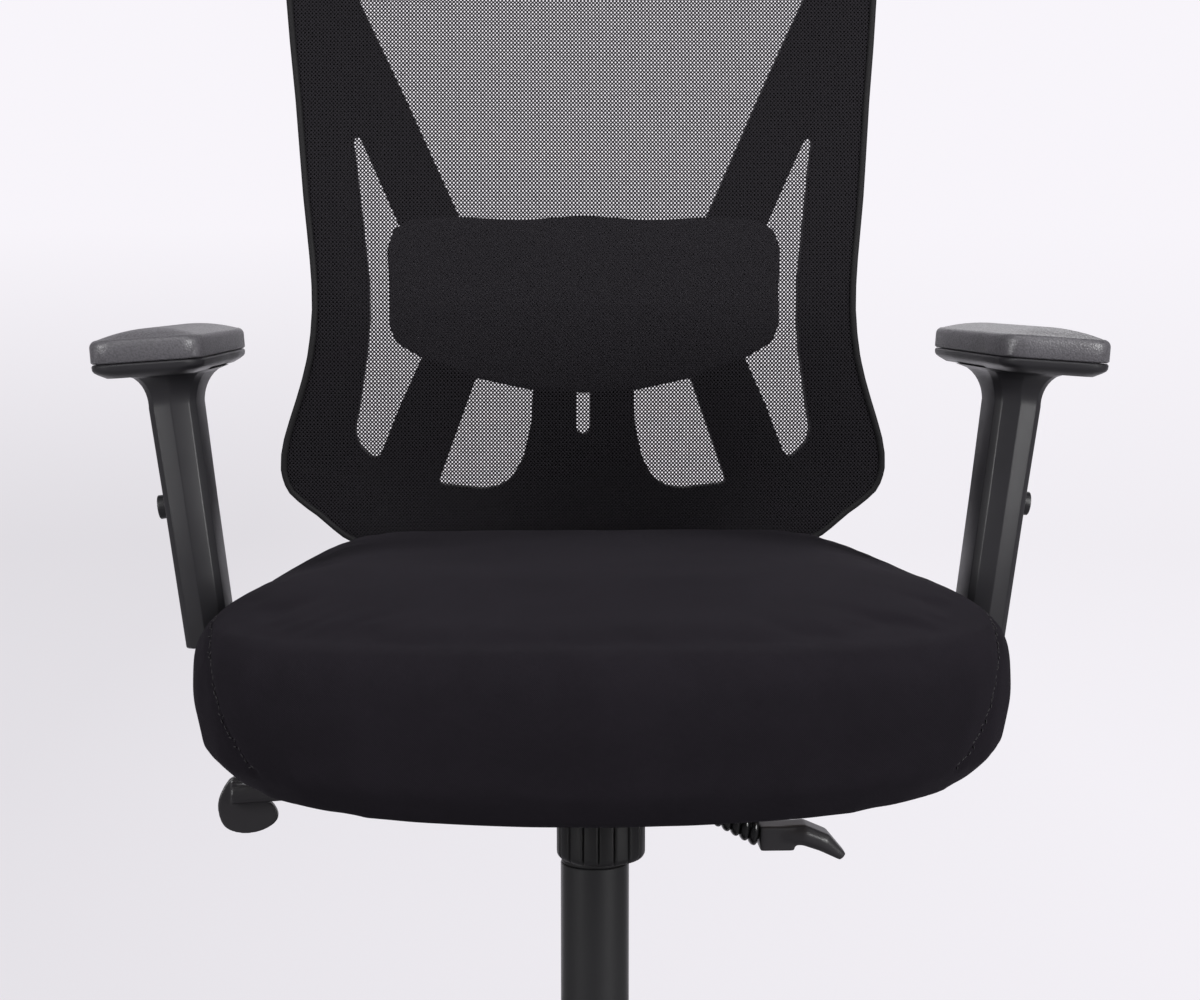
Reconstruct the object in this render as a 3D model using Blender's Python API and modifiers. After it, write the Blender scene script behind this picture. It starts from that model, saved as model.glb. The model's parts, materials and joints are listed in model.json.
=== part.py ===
"""Swivel office chair: five-star base on casters, gas lift, tilting mechanism, armrests,
moulded seat cushion and a mesh back with a height-adjustable lumbar pad.

Metres, +Z up, the chair faces -Y. Every size is laid out from the gas lift's axis, and one
empty carries the whole chair so that its box is centred on the origin.
"""

import math

import bmesh
import bpy
from mathutils import Matrix, Vector

COLUMN_Y = 0.0105
GAP = 0.0003

# Casters and base
WHEEL_RADIUS = 0.030
WHEEL_WIDTH = 0.017
WHEEL_INNER_X = 0.0095
WHEEL_SIDES = 22
AXLE_Z = WHEEL_RADIUS * math.cos(math.pi / WHEEL_SIDES)
AXLE_RADIUS = 0.004
CASTER_TRAIL = 0.020
CASTER_COUNT = 5
HOOD_RADIUS = 0.0355
HOOD_WALL = 0.003
HOOD_HALF_WIDTH = 0.026
HOOD_WEB_THICKNESS = 0.014
HOOD_BOSS_RADIUS = 0.0085
HOOD_BOSS_Z = 0.0547
HOOD_BOSS_HEIGHT = 0.0218
STEM_RADIUS = 0.0055
STEM_COLLAR_RADIUS = 0.0085
BASE_RADIUS = 0.315
TIP_BOTTOM_Z = 0.070
TIP_TOP_Z = 0.102
TIP_BOTTOM_RADIUS = 0.0185
TIP_TOP_RADIUS = 0.0165
HUB_BOTTOM_RADIUS = 0.043
HUB_TOP_RADIUS = 0.036
HUB_BOTTOM_Z = 0.074
HUB_TOP_Z = 0.140
# Reach, bottom, top and half width of a leg's sections, from the hub to its tip
LEG_STATIONS = (
    (0.020, 0.079, 0.132, 0.026), (0.090, 0.080, 0.126, 0.024), (0.190, 0.077, 0.115, 0.021),
    (0.270, 0.0725, 0.105, 0.0175), (BASE_RADIUS, 0.0712, 0.100, 0.015),
)
LEG_CHAMFER = 0.009

# Gas lift
LIFT_TUBE_RADIUS = 0.024
LIFT_TUBE_WALL = 0.002
LIFT_TUBE_BOTTOM_Z = 0.060
LIFT_TUBE_TOP_Z = 0.300
LIFT_ROD_RADIUS = 0.014
LIFT_ROD_BOTTOM_Z = 0.110
LIFT_ROD_TOP_Z = 0.368
LIFT_BUSH_LENGTH = 0.060
LIFT_BUSH_FLANGE = 0.004
RELEASE_PIN_RADIUS = 0.004
RELEASE_PIN_LENGTH = 0.018
RELEASE_PIN_TOP_Z = 0.376

# Tilt mechanism
HOUSING_HALF_WIDTH = 0.070
HOUSING_FRONT_Y = -0.128
HOUSING_REAR_Y = 0.075
HOUSING_BOTTOM_Z = 0.3605
HOUSING_TOP_Z = 0.384
HOUSING_WALL = 0.003
FRONT_AXLE = (-0.118, 0.371)
MAIN_AXLE = (0.050, 0.370)
FRONT_AXLE_RADIUS = 0.0045
FRONT_AXLE_LENGTH = 0.164
MAIN_AXLE_RADIUS = 0.006
MAIN_AXLE_LENGTH = 0.188
KNOB_Y = -0.100
KNOB_RADIUS = 0.029
KNOB_BOTTOM_Z = 0.330
KNOB_COLLAR_HEIGHT = 0.012
KNOB_RIBS = 16
KNOB_RIB_DEPTH = 0.0018
TENSION_BOLT_RADIUS = 0.005
TENSION_BOLT_TOP_Z = 0.381
TENSION_NUT_WIDTH = 0.022
TENSION_NUT_HEIGHT = 0.006
TENSION_NUT_Z = 0.3775
THREAD_CLEARANCE = 0.0003
SPRING_TURNS = 3
SPRING_RADIUS = 0.0082
SPRING_WIRE = 0.0010
HEIGHT_LEVER_PIVOT = (-0.045, 0.0, 0.3785)
LOCK_LEVER_Y = -0.030
LOCK_LEVER_PIVOT = (0.050, LOCK_LEVER_Y, 0.3545)
LEVER_ROD_RADIUS = 0.004
HEIGHT_LEVER_BOSS_Z = 0.3505
BOOT_START = (0.0740, LOCK_LEVER_Y, 0.3453)
BOOT_END = (0.1108, LOCK_LEVER_Y, 0.3277)
BOOT_RINGS = 5
BOOT_SMALL_RADIUS = 0.0066
BOOT_GROWTH = 0.0052
BOOT_FOLD = 0.0022
BOOT_BORE_RADIUS = 0.0049

# Seat
PAN_BOTTOM_Z = 0.410
PAN_TOP_Z = 0.422
PAN_INSET = 0.050
CARRIER_PLATE = 0.004
CARRIER_FLANGE = 0.005
CARRIER_FLANGE_X = 0.076
CARRIER_LENGTH = 0.265
CARRIER_Y = -0.0075
SEAT_CENTRE_Y = -0.030
SEAT_HALF_PLAN = (
    (0.0, -0.270), (0.110, -0.264), (0.190, -0.243), (0.238, -0.205), (0.257, -0.150),
    (0.2460, -0.100), (0.2375, -0.062), (0.2335, -0.020), (0.221, 0.080), (0.209, 0.150),
    (0.188, 0.190), (0.138, 0.205), (0.0, 0.208),
)

# Armrests
ARM_Y = -0.045
ARM_LEAN = math.radians(7.25)
ARM_CENTRE_X = 0.2685
ARM_CENTRE_Z = 0.550
POST_HALF_X = 0.0078
POST_HALF_Y = 0.019
POST_BOTTOM = -0.125
POST_TOP = 0.050
POST_CLEARANCE = 0.0006
BORE_TOP = 0.076
SLEEVE_BOTTOM = -0.086
SLEEVE_TOP = 0.082
BUTTON_Z = 0.558
BUTTON_RADIUS = 0.009
BUTTON_INNER_X = 0.0122
BUTTON_OUTER_X = 0.0200
BUTTON_CLEARANCE = 0.0004
PAD_TILT = math.radians(4.0)
PAD_CENTRE = (0.2775, -0.0575, 0.6557)
PAD_HALF_X = 0.0345
PAD_HALF_Y = 0.1130

# Back: (height, half width) up its side, and (height, y) down the middle of its front
BACK_HALF_WIDTHS = (
    (0.5045, 0.190), (0.521, 0.208), (0.539, 0.2295), (0.558, 0.2358), (0.582, 0.2325),
    (0.612, 0.2225), (0.645, 0.2130), (0.683, 0.2085), (0.722, 0.2100), (0.770, 0.2150),
    (0.845, 0.2215), (0.930, 0.2300), (1.000, 0.2310), (1.046, 0.2200),
)
BACK_BOTTOM_EDGE = ((0.0, 0.486), (0.070, 0.4865), (0.125, 0.489), (0.166, 0.494))
BACK_TOP_EDGE = ((0.194, 1.074), (0.150, 1.087), (0.0, 1.092))
BACK_PROFILE = (
    (0.400, 0.262), (0.470, 0.237), (0.560, 0.214), (0.630, 0.198), (0.690, 0.192),
    (0.760, 0.200), (0.850, 0.222), (0.950, 0.250), (1.090, 0.292), (1.200, 0.330),
)
BACK_WRAP = 0.010
BACK_LEVELS = tuple(0.5135 + 0.0437 * step for step in range(13))
BACK_COLUMNS = (-0.1885, -0.1545, -0.062, 0.062, 0.1545, 0.1885)
MESH_THICKNESS = 0.0012
FRAME_THICKNESS = 0.020
FRAME_RECESS = 0.024
LUMBAR_DEPTH = 0.011
LUMBAR_CLEARANCE = 0.006
LUMBAR_PIN_Z = 0.665
LUMBAR_PIN_RADIUS = 0.0045
LUMBAR_KNOB_CLEARANCE = 0.0055
LUMBAR_KNOB_HEIGHT = 0.014
LUMBAR_KNOB_RADIUS = 0.017
SLOT_HALF_WIDTH = 0.0055
SLOT_BOTTOM_Z = 0.5835
SLOT_TOP_Z = 0.700
BRACKET_HALF_WIDTH = 0.034
BRACKET_THICKNESS = 0.014
BRACKET_FRONT_Y = 0.2650
BACK_BOLT_X = 0.020
BACK_BOLT_Z = 0.530
BOLT_RADIUS = 0.004
BOLT_REACH = 0.012
BOLT_HEAD_RADIUS = 0.0075
BOLT_HEAD_HEIGHT = 0.0055


# ---------------------------------------------------------------- scene and materials

def clear_scene():
    for obj in list(bpy.data.objects):
        bpy.data.objects.remove(obj, do_unlink=True)


def new_collection(name):
    made = bpy.data.collections.new(name)
    bpy.context.scene.collection.children.link(made)
    return made


def new_root(collection):
    root = bpy.data.objects.new("chair_root", None)
    root.location = (0.0, COLUMN_Y, 0.0)
    collection.objects.link(root)
    return root


def new_material(name, colour, roughness, metallic=0.0):
    made = bpy.data.materials.new(name)
    made.use_nodes = True
    shader = made.node_tree.nodes["Principled BSDF"]
    shader.inputs["Base Color"].default_value = (*colour, 1.0)
    shader.inputs["Roughness"].default_value = roughness
    shader.inputs["Metallic"].default_value = metallic
    return made


clear_scene()
PARTS = new_collection("swivel_office_chair")
HELPERS = new_collection("cutters")
ROOT = new_root(PARTS)
NYLON = new_material("black_nylon", (0.016, 0.016, 0.018), 0.50)
ARM_PLASTIC = new_material("arm_plastic", (0.024, 0.024, 0.027), 0.45)
PAD_PU = new_material("soft_pu", (0.028, 0.028, 0.031), 0.55)
SEAT_FABRIC = new_material("seat_fabric", (0.012, 0.011, 0.013), 0.95)
BACK_MESH = new_material("back_mesh", (0.030, 0.028, 0.032), 0.85)
LUMBAR_FOAM = new_material("lumbar_plastic", (0.010, 0.010, 0.011), 0.70)
BLACK_STEEL = new_material("painted_steel", (0.020, 0.020, 0.022), 0.40)
BARE_STEEL = new_material("bare_steel", (0.560, 0.560, 0.570), 0.28, 1.0)
PLYWOOD = new_material("plywood", (0.420, 0.290, 0.170), 0.70)
RUBBER = new_material("boot_rubber", (0.010, 0.010, 0.010), 0.35)
TREAD = new_material("caster_nylon", (0.020, 0.020, 0.021), 0.40)


# ---------------------------------------------------------------- curves and outlines

def smooth_points(points, steps, closed=False):
    """Catmull-Rom points through the given ones, steps to a stretch."""
    count = len(points)
    stretches = count if closed else count - 1
    found = []
    for i in range(stretches):
        if closed:
            a, b, c, d = (Vector(points[(i + k) % count]) for k in (-1, 0, 1, 2))
        else:
            a, b, c, d = (Vector(points[min(max(i + k, 0), count - 1)]) for k in (-1, 0, 1, 2))
        for step in range(steps):
            t = step / steps
            found.append(
                0.5 * (2 * b + (c - a) * t + (2 * a - 5 * b + 4 * c - d) * t * t
                       + (3 * b - a - 3 * c + d) * t ** 3)
            )
    if not closed:
        found.append(Vector(points[-1]))
    return found


def mirrored(half):
    """A closed outline from its +X half, which runs from the middle line to the middle line."""
    return list(half) + [Vector((-p[0], *p[1:])) for p in list(half)[-2:0:-1]]


def rounded_rectangle(half_x, half_y, radius, corner_steps=4):
    points = []
    for quarter, (sx, sy) in enumerate(((1, 1), (-1, 1), (-1, -1), (1, -1))):
        for step in range(corner_steps + 1):
            angle = math.pi / 2 * (quarter + step / corner_steps)
            x = sx * (half_x - radius) + radius * math.cos(angle)
            y = sy * (half_y - radius) + radius * math.sin(angle)
            points.append(Vector((x, y)))
    return points


def octagon(half_x, half_y, chamfer):
    x, y, c = half_x, half_y, chamfer
    corners = ((x, y - c), (x - c, y), (c - x, y), (-x, y - c))
    return [Vector(p) for p in corners] + [Vector((-a, -b)) for a, b in corners]


def band_outline(path, thickness):
    """The closed outline of a strip of this thickness whose middle line is path."""
    left, right = [], []
    for i, point in enumerate(path):
        along = (path[min(i + 1, len(path) - 1)] - path[max(i - 1, 0)]).normalized()
        across = Vector((-along.y, along.x)) * thickness / 2
        left.append(point + across)
        right.append(point - across)
    return left + right[::-1]


def read_table(table, at):
    """Straight-line value of a table of (at, value) pairs, held at its ends."""
    if at <= table[0][0]:
        return table[0][1]
    for (x0, y0), (x1, y1) in zip(table, table[1:]):
        if at <= x1:
            return y0 + (y1 - y0) * (at - x0) / (x1 - x0)
    return table[-1][1]


def smooth_step(low, high, at):
    t = min(max((at - low) / (high - low), 0.0), 1.0)
    return t * t * (3 - 2 * t)


# ---------------------------------------------------------------- solids

def primitive_box(size, centre):
    bm = bmesh.new()
    placed = Matrix.Translation(centre) @ Matrix.Diagonal((*size, 1.0))
    bmesh.ops.create_cube(bm, size=1.0, matrix=placed)
    return bm


def primitive_cylinder(radius, length, centre, axis="Z", sides=24, end_radius=None):
    turn = {"X": Matrix.Rotation(math.pi / 2, 4, "Y"), "Y": Matrix.Rotation(-math.pi / 2, 4, "X"),
            "Z": Matrix.Identity(4)}[axis]
    bm = bmesh.new()
    bmesh.ops.create_cone(
        bm, cap_ends=True, segments=sides, radius1=radius,
        radius2=radius if end_radius is None else end_radius, depth=length,
        matrix=Matrix.Translation(centre) @ turn,
    )
    return bm


def lofted(rings):
    """A closed solid through rings of equal length, capped at both ends."""
    bm = bmesh.new()
    rows = [[bm.verts.new(p) for p in ring] for ring in rings]
    count = len(rows[0])
    for lower, upper in zip(rows, rows[1:]):
        for i in range(count):
            j = (i + 1) % count
            bm.faces.new((lower[i], lower[j], upper[j], upper[i]))
    bm.faces.new(rows[0][::-1])
    bm.faces.new(rows[-1])
    bmesh.ops.recalc_face_normals(bm, faces=bm.faces)
    return bm


PLANES = {
    "XY": Matrix.Identity(3),
    "XZ": Matrix(((1, 0, 0), (0, 0, -1), (0, 1, 0))),
    "YZ": Matrix(((0, 0, 1), (1, 0, 0), (0, 1, 0))),
}


def flat_solid(loops, thickness, plane, offset=0.0):
    """Outlines filled and extruded by thickness about the plane, offset along its normal."""
    curve = bpy.data.curves.new("outline", "CURVE")
    curve.dimensions = "2D"
    curve.fill_mode = "BOTH"
    curve.extrude = thickness / 2
    for loop in loops:
        spline = curve.splines.new("POLY")
        spline.points.add(len(loop) - 1)
        for slot, point in zip(spline.points, loop):
            slot.co = (point[0], point[1], 0.0, 1.0)
        spline.use_cyclic_u = True
    obj = bpy.data.objects.new("outline", curve)
    PARTS.objects.link(obj)
    bpy.context.view_layer.update()
    graph = bpy.context.evaluated_depsgraph_get()
    mesh = bpy.data.meshes.new_from_object(obj.evaluated_get(graph))
    bpy.data.objects.remove(obj, do_unlink=True)
    bm = bmesh.new()
    bm.from_mesh(mesh)
    bpy.data.meshes.remove(mesh)
    bmesh.ops.remove_doubles(bm, verts=bm.verts, dist=0.00001)
    bmesh.ops.translate(bm, verts=bm.verts, vec=(0.0, 0.0, offset))
    bmesh.ops.transform(bm, matrix=PLANES[plane].to_4x4(), verts=bm.verts)
    bmesh.ops.recalc_face_normals(bm, faces=bm.faces)
    return bm


def sliced(bm):
    """The solid with edges added on the back's levels and columns, so that it can bend."""
    for normal, places in ((Vector((0, 0, 1)), BACK_LEVELS), (Vector((1, 0, 0)), BACK_COLUMNS)):
        for place_along in places:
            geometry = list(bm.verts) + list(bm.edges) + list(bm.faces)
            bmesh.ops.bisect_plane(bm, geom=geometry, dist=0.00001, plane_co=normal * place_along,
                                   plane_no=normal)
    return bm


def place(name, bm, finish, origin=(0.0, 0.0, 0.0), helper=False):
    """An object whose mesh is laid out from the gas lift's axis and whose origin is on its joint."""
    bmesh.ops.translate(bm, verts=bm.verts, vec=-Vector(origin))
    mesh = bpy.data.meshes.new(name)
    bm.to_mesh(mesh)
    bm.free()
    obj = bpy.data.objects.new(name, mesh)
    obj.location = origin
    obj.parent = ROOT
    if helper:
        HELPERS.objects.link(obj)
        obj.hide_render = True
        obj.display_type = "WIRE"
        return obj
    PARTS.objects.link(obj)
    mesh.materials.append(finish)
    mesh.shade_smooth()
    mesh.set_sharp_from_angle(angle=math.radians(35))
    return obj


def boolean(obj, bm, operation):
    helper = place(f"{obj.name}_{operation.lower()}_{len(obj.modifiers)}", bm, None, helper=True)
    modifier = obj.modifiers.new(operation.title(), "BOOLEAN")
    modifier.operation = operation
    modifier.object = helper


def cut(obj, *cutters):
    for bm in cutters:
        boolean(obj, bm, "DIFFERENCE")


def join(obj, *others):
    for bm in others:
        boolean(obj, bm, "UNION")


def bevel(obj, width, segments=1):
    modifier = obj.modifiers.new("Bevel", "BEVEL")
    modifier.width = width
    modifier.segments = segments
    modifier.limit_method = "ANGLE"
    modifier.angle_limit = math.radians(40)


def turned(name, profile, finish, origin, sides, turn=None):
    """A turned part: profile is (radius, height) down its outer side, about the origin's Z axis."""
    mesh = bpy.data.meshes.new(name)
    points = [(radius, 0.0, height) for radius, height in profile]
    closed = min(radius for radius, _ in profile) > 0.0
    count = len(points)
    edges = [(i, i + 1) for i in range(count - 1)] + ([(count - 1, 0)] if closed else [])
    mesh.from_pydata(points, edges, [])
    mesh.materials.append(finish)
    obj = bpy.data.objects.new(name, mesh)
    obj.location = origin
    obj.parent = ROOT
    if turn is not None:
        obj.rotation_euler = turn.to_euler()
    PARTS.objects.link(obj)
    screw = obj.modifiers.new("Screw", "SCREW")
    screw.steps = sides
    screw.render_steps = sides
    screw.use_merge_vertices = True
    screw.merge_threshold = 0.0001
    screw.use_smooth_shade = False
    return obj


def rod(name, path, radius, finish, origin, sides_resolution=2):
    """A bent round rod through the points of path, as a mesh that can be cut or joined."""
    curve = bpy.data.curves.new("rod", "CURVE")
    curve.dimensions = "3D"
    curve.bevel_depth = radius
    curve.bevel_resolution = sides_resolution
    curve.use_fill_caps = True
    spline = curve.splines.new("POLY")
    spline.points.add(len(path) - 1)
    for slot, point in zip(spline.points, path):
        slot.co = (*point, 1.0)
    obj = bpy.data.objects.new("rod", curve)
    PARTS.objects.link(obj)
    bpy.context.view_layer.update()
    graph = bpy.context.evaluated_depsgraph_get()
    mesh = bpy.data.meshes.new_from_object(obj.evaluated_get(graph))
    bpy.data.objects.remove(obj, do_unlink=True)
    bm = bmesh.new()
    bm.from_mesh(mesh)
    bpy.data.meshes.remove(mesh)
    bmesh.ops.remove_doubles(bm, verts=bm.verts, dist=0.00001)
    bmesh.ops.recalc_face_normals(bm, faces=bm.faces)
    return place(name, bm, finish, origin)


# ---------------------------------------------------------------- casters and base

def caster_stations():
    """(x, y) of each caster's stem, the first one straight ahead."""
    for i in range(CASTER_COUNT):
        angle = -math.pi / 2 + i * 2 * math.pi / CASTER_COUNT
        yield BASE_RADIUS * math.cos(angle), BASE_RADIUS * math.sin(angle)


def hood_web():
    """The plate between a caster's wheels, and round its axle, in the caster's own Y and Z."""
    points = []
    for step in range(9):
        angle = math.radians(-10 + 200 * step / 8)
        radius = HOOD_RADIUS - HOOD_WALL / 2
        points.append((CASTER_TRAIL + radius * math.cos(angle), AXLE_Z + radius * math.sin(angle)))
    for step in range(5):
        angle = math.radians(200 + 140 * step / 4)
        points.append((CASTER_TRAIL + 0.012 * math.cos(angle), AXLE_Z + 0.012 * math.sin(angle)))
    return points


def fender_band():
    middle = HOOD_RADIUS - HOOD_WALL / 2
    path = []
    for step in range(9):
        angle = math.radians(-8 + 196 * step / 8)
        y, z = CASTER_TRAIL + middle * math.cos(angle), AXLE_Z + middle * math.sin(angle)
        path.append(Vector((y, z)))
    return band_outline(path, HOOD_WALL)


def make_hood(name, x, y):
    at = Vector((x, y, 0.0))
    shapes = [
        flat_solid([hood_web()], HOOD_WEB_THICKNESS, "YZ"),
        flat_solid([fender_band()], 2 * HOOD_HALF_WIDTH, "YZ"),
        primitive_cylinder(HOOD_BOSS_RADIUS, HOOD_BOSS_HEIGHT, (0.0, 0.0, HOOD_BOSS_Z), sides=14),
    ]
    holes = [
        primitive_cylinder(STEM_RADIUS + GAP, 0.0300, (0.0, 0.0, HOOD_BOSS_Z + 0.004), sides=12),
        primitive_cylinder(AXLE_RADIUS + GAP, 0.0300, (0.0, CASTER_TRAIL, AXLE_Z), "X", 12),
    ]
    for bm in shapes + holes:
        bmesh.ops.translate(bm, verts=bm.verts, vec=at)
    hood = place(name, shapes[0], NYLON, at)
    join(hood, *shapes[1:])
    cut(hood, *holes)


def make_wheel(name, x, y, side):
    """A wheel with a blind bore from its inner face and a dished outer face."""
    inner, outer = WHEEL_INNER_X, WHEEL_INNER_X + WHEEL_WIDTH
    profile = (
        (0.0, outer - 0.002), (0.019, outer - 0.002), (0.022, outer), (0.0275, outer),
        (WHEEL_RADIUS, outer - 0.003), (WHEEL_RADIUS, inner + 0.002), (0.0285, inner),
        (AXLE_RADIUS + GAP, inner), (AXLE_RADIUS + GAP, outer - 0.005), (0.0, outer - 0.005),
    )
    half_facet = Matrix.Rotation(math.pi / WHEEL_SIDES, 4, "X")
    turn = half_facet @ Matrix.Rotation(side * math.pi / 2, 4, "Y")
    turned(name, profile, TREAD, (x, y + CASTER_TRAIL, AXLE_Z), WHEEL_SIDES, turn)


def make_stem(name, x, y):
    profile = (
        (0.0, 0.0945), (0.0045, 0.0945), (STEM_RADIUS, 0.0930), (STEM_RADIUS, 0.0694),
        (STEM_COLLAR_RADIUS, 0.0694), (STEM_COLLAR_RADIUS, 0.0660), (STEM_RADIUS, 0.0660),
        (STEM_RADIUS, 0.0445), (0.0, 0.0445),
    )
    turned(name, profile, BARE_STEEL, (x, y, 0.0), 12)


def make_axle(name, x, y):
    length = 2 * (WHEEL_INNER_X + WHEEL_WIDTH - 0.0055)
    centre = (x, y + CASTER_TRAIL, AXLE_Z)
    place(name, primitive_cylinder(AXLE_RADIUS, length, centre, "X", 12), BARE_STEEL, centre)


def make_casters():
    for number, (x, y) in enumerate(caster_stations(), start=1):
        make_stem(f"caster_{number}_stem", x, y)
        make_hood(f"caster_{number}_hood", x, y)
        make_axle(f"caster_{number}_axle", x, y)
        make_wheel(f"caster_{number}_wheel_left", x, y, 1)
        make_wheel(f"caster_{number}_wheel_right", x, y, -1)


def arm_of_base(angle):
    """One leg of the star, a bar that narrows and falls from the hub to its tip."""
    rings = []
    for reach, bottom, top, half_width in LEG_STATIONS:
        height = (top - bottom) / 2
        section = octagon(half_width, height, LEG_CHAMFER)
        rings.append([Vector((reach, p.x, bottom + height + p.y)) for p in section])
    bm = lofted(rings)
    bmesh.ops.transform(bm, matrix=Matrix.Rotation(angle, 4, "Z"), verts=bm.verts)
    return bm


def make_star_base():
    hub_centre = (0, 0, (HUB_TOP_Z + HUB_BOTTOM_Z) / 2)
    hub = primitive_cylinder(HUB_BOTTOM_RADIUS, HUB_TOP_Z - HUB_BOTTOM_Z, hub_centre, sides=32,
                             end_radius=HUB_TOP_RADIUS)
    base = place("star_base", hub, NYLON)
    for x, y in caster_stations():
        join(base, arm_of_base(math.atan2(y, x)))
        tip_centre = (x, y, (TIP_TOP_Z + TIP_BOTTOM_Z) / 2)
        join(base, primitive_cylinder(TIP_BOTTOM_RADIUS, TIP_TOP_Z - TIP_BOTTOM_Z, tip_centre, sides=20,
                                      end_radius=TIP_TOP_RADIUS))
    cut(base, primitive_cylinder(LIFT_TUBE_RADIUS + GAP, 0.2, hub_centre, sides=28))
    for x, y in caster_stations():
        cut(base, primitive_cylinder(STEM_RADIUS + GAP, 0.040, (x, y, TIP_BOTTOM_Z + 0.006), sides=12))


# ---------------------------------------------------------------- gas lift

def make_lift():
    radius, inside = LIFT_TUBE_RADIUS, LIFT_TUBE_RADIUS - LIFT_TUBE_WALL
    top, bottom = LIFT_TUBE_TOP_Z, LIFT_TUBE_BOTTOM_Z
    turned("lift_outer_tube", (
        (0.0, bottom + 0.004), (inside, bottom + 0.004), (inside, top), (radius, top),
        (radius, bottom + 0.002), (radius - 0.002, bottom), (0.0, bottom),
    ), BLACK_STEEL, (0, 0, 0), 28)
    bore, flange = LIFT_ROD_RADIUS + GAP, radius - 0.0005
    turned("lift_guide_bush", (
        (inside - GAP, top + GAP), (inside - GAP, top - LIFT_BUSH_LENGTH), (bore, top - LIFT_BUSH_LENGTH),
        (bore, top + LIFT_BUSH_FLANGE), (flange, top + LIFT_BUSH_FLANGE), (flange, top + GAP),
    ), NYLON, (0, 0, 0), 28)
    rod_middle = (0, 0, (LIFT_ROD_TOP_Z + LIFT_ROD_BOTTOM_Z) / 2)
    cylinder = place("lift_cylinder", primitive_cylinder(
        LIFT_ROD_RADIUS, LIFT_ROD_TOP_Z - LIFT_ROD_BOTTOM_Z, rod_middle, sides=28), BARE_STEEL)
    cut(cylinder, primitive_cylinder(RELEASE_PIN_RADIUS + GAP, 0.030, (0, 0, LIFT_ROD_TOP_Z), sides=12))
    pin_middle = (0, 0, RELEASE_PIN_TOP_Z - RELEASE_PIN_LENGTH / 2)
    pin = primitive_cylinder(RELEASE_PIN_RADIUS, RELEASE_PIN_LENGTH, pin_middle, sides=12)
    place("lift_release_pin", pin, BARE_STEEL, (0, 0, RELEASE_PIN_TOP_Z))


# ---------------------------------------------------------------- tilt mechanism

def make_housing():
    """A tray with a thick block under it, and in the block the socket of the gas lift."""
    front_low = Vector((-HOUSING_HALF_WIDTH, HOUSING_FRONT_Y, HOUSING_BOTTOM_Z))
    rear_high = Vector((HOUSING_HALF_WIDTH, HOUSING_REAR_Y, HOUSING_TOP_Z))
    size, centre = rear_high - front_low, (rear_high + front_low) / 2
    walls = Vector((2 * HOUSING_WALL, 2 * HOUSING_WALL, 0))
    housing = place("mechanism_housing", primitive_box(size, centre), BLACK_STEEL)
    cut(housing, primitive_box(size - walls, centre + Vector((0, 0, HOUSING_WALL))))
    join(housing, primitive_box((0.124, 0.105, 0.019), (0, -0.0025, 0.3525)))
    join(housing, primitive_cylinder(0.031, 0.036, (0, 0, 0.350), sides=28, end_radius=0.026))
    cut(
        housing,
        primitive_cylinder(LIFT_ROD_RADIUS + GAP, 0.1, (0, 0, 0.350), sides=28),
        primitive_cylinder(FRONT_AXLE_RADIUS + GAP, 0.2, (0, *FRONT_AXLE), "X", 16),
        primitive_cylinder(MAIN_AXLE_RADIUS + GAP, 0.2, (0, *MAIN_AXLE), "X", 16),
        primitive_cylinder(TENSION_BOLT_RADIUS + 0.0004, 0.02, (0, KNOB_Y, HOUSING_BOTTOM_Z), sides=16),
        primitive_box((0.010, 0.018, 0.027), (-HOUSING_HALF_WIDTH, 0.0, 0.379)),
        primitive_box((0.030, 0.012, 0.0195), (0.055, LOCK_LEVER_Y, 0.35475)),
    )


def make_axles():
    for name, radius, length, at in (
        ("front_axle", FRONT_AXLE_RADIUS, FRONT_AXLE_LENGTH, (0, *FRONT_AXLE)),
        ("main_axle", MAIN_AXLE_RADIUS, MAIN_AXLE_LENGTH, (0, *MAIN_AXLE)),
    ):
        place(name, primitive_cylinder(radius, length, at, "X", 16), BARE_STEEL, at)


def ribbed_outline(radius, ribs, depth):
    points = []
    for i in range(4 * ribs):
        angle = 2 * math.pi * i / (4 * ribs)
        reach = radius - (depth if i % 4 in (0, 1) else 0.0)
        points.append(Vector((reach * math.cos(angle), reach * math.sin(angle))))
    return points


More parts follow.
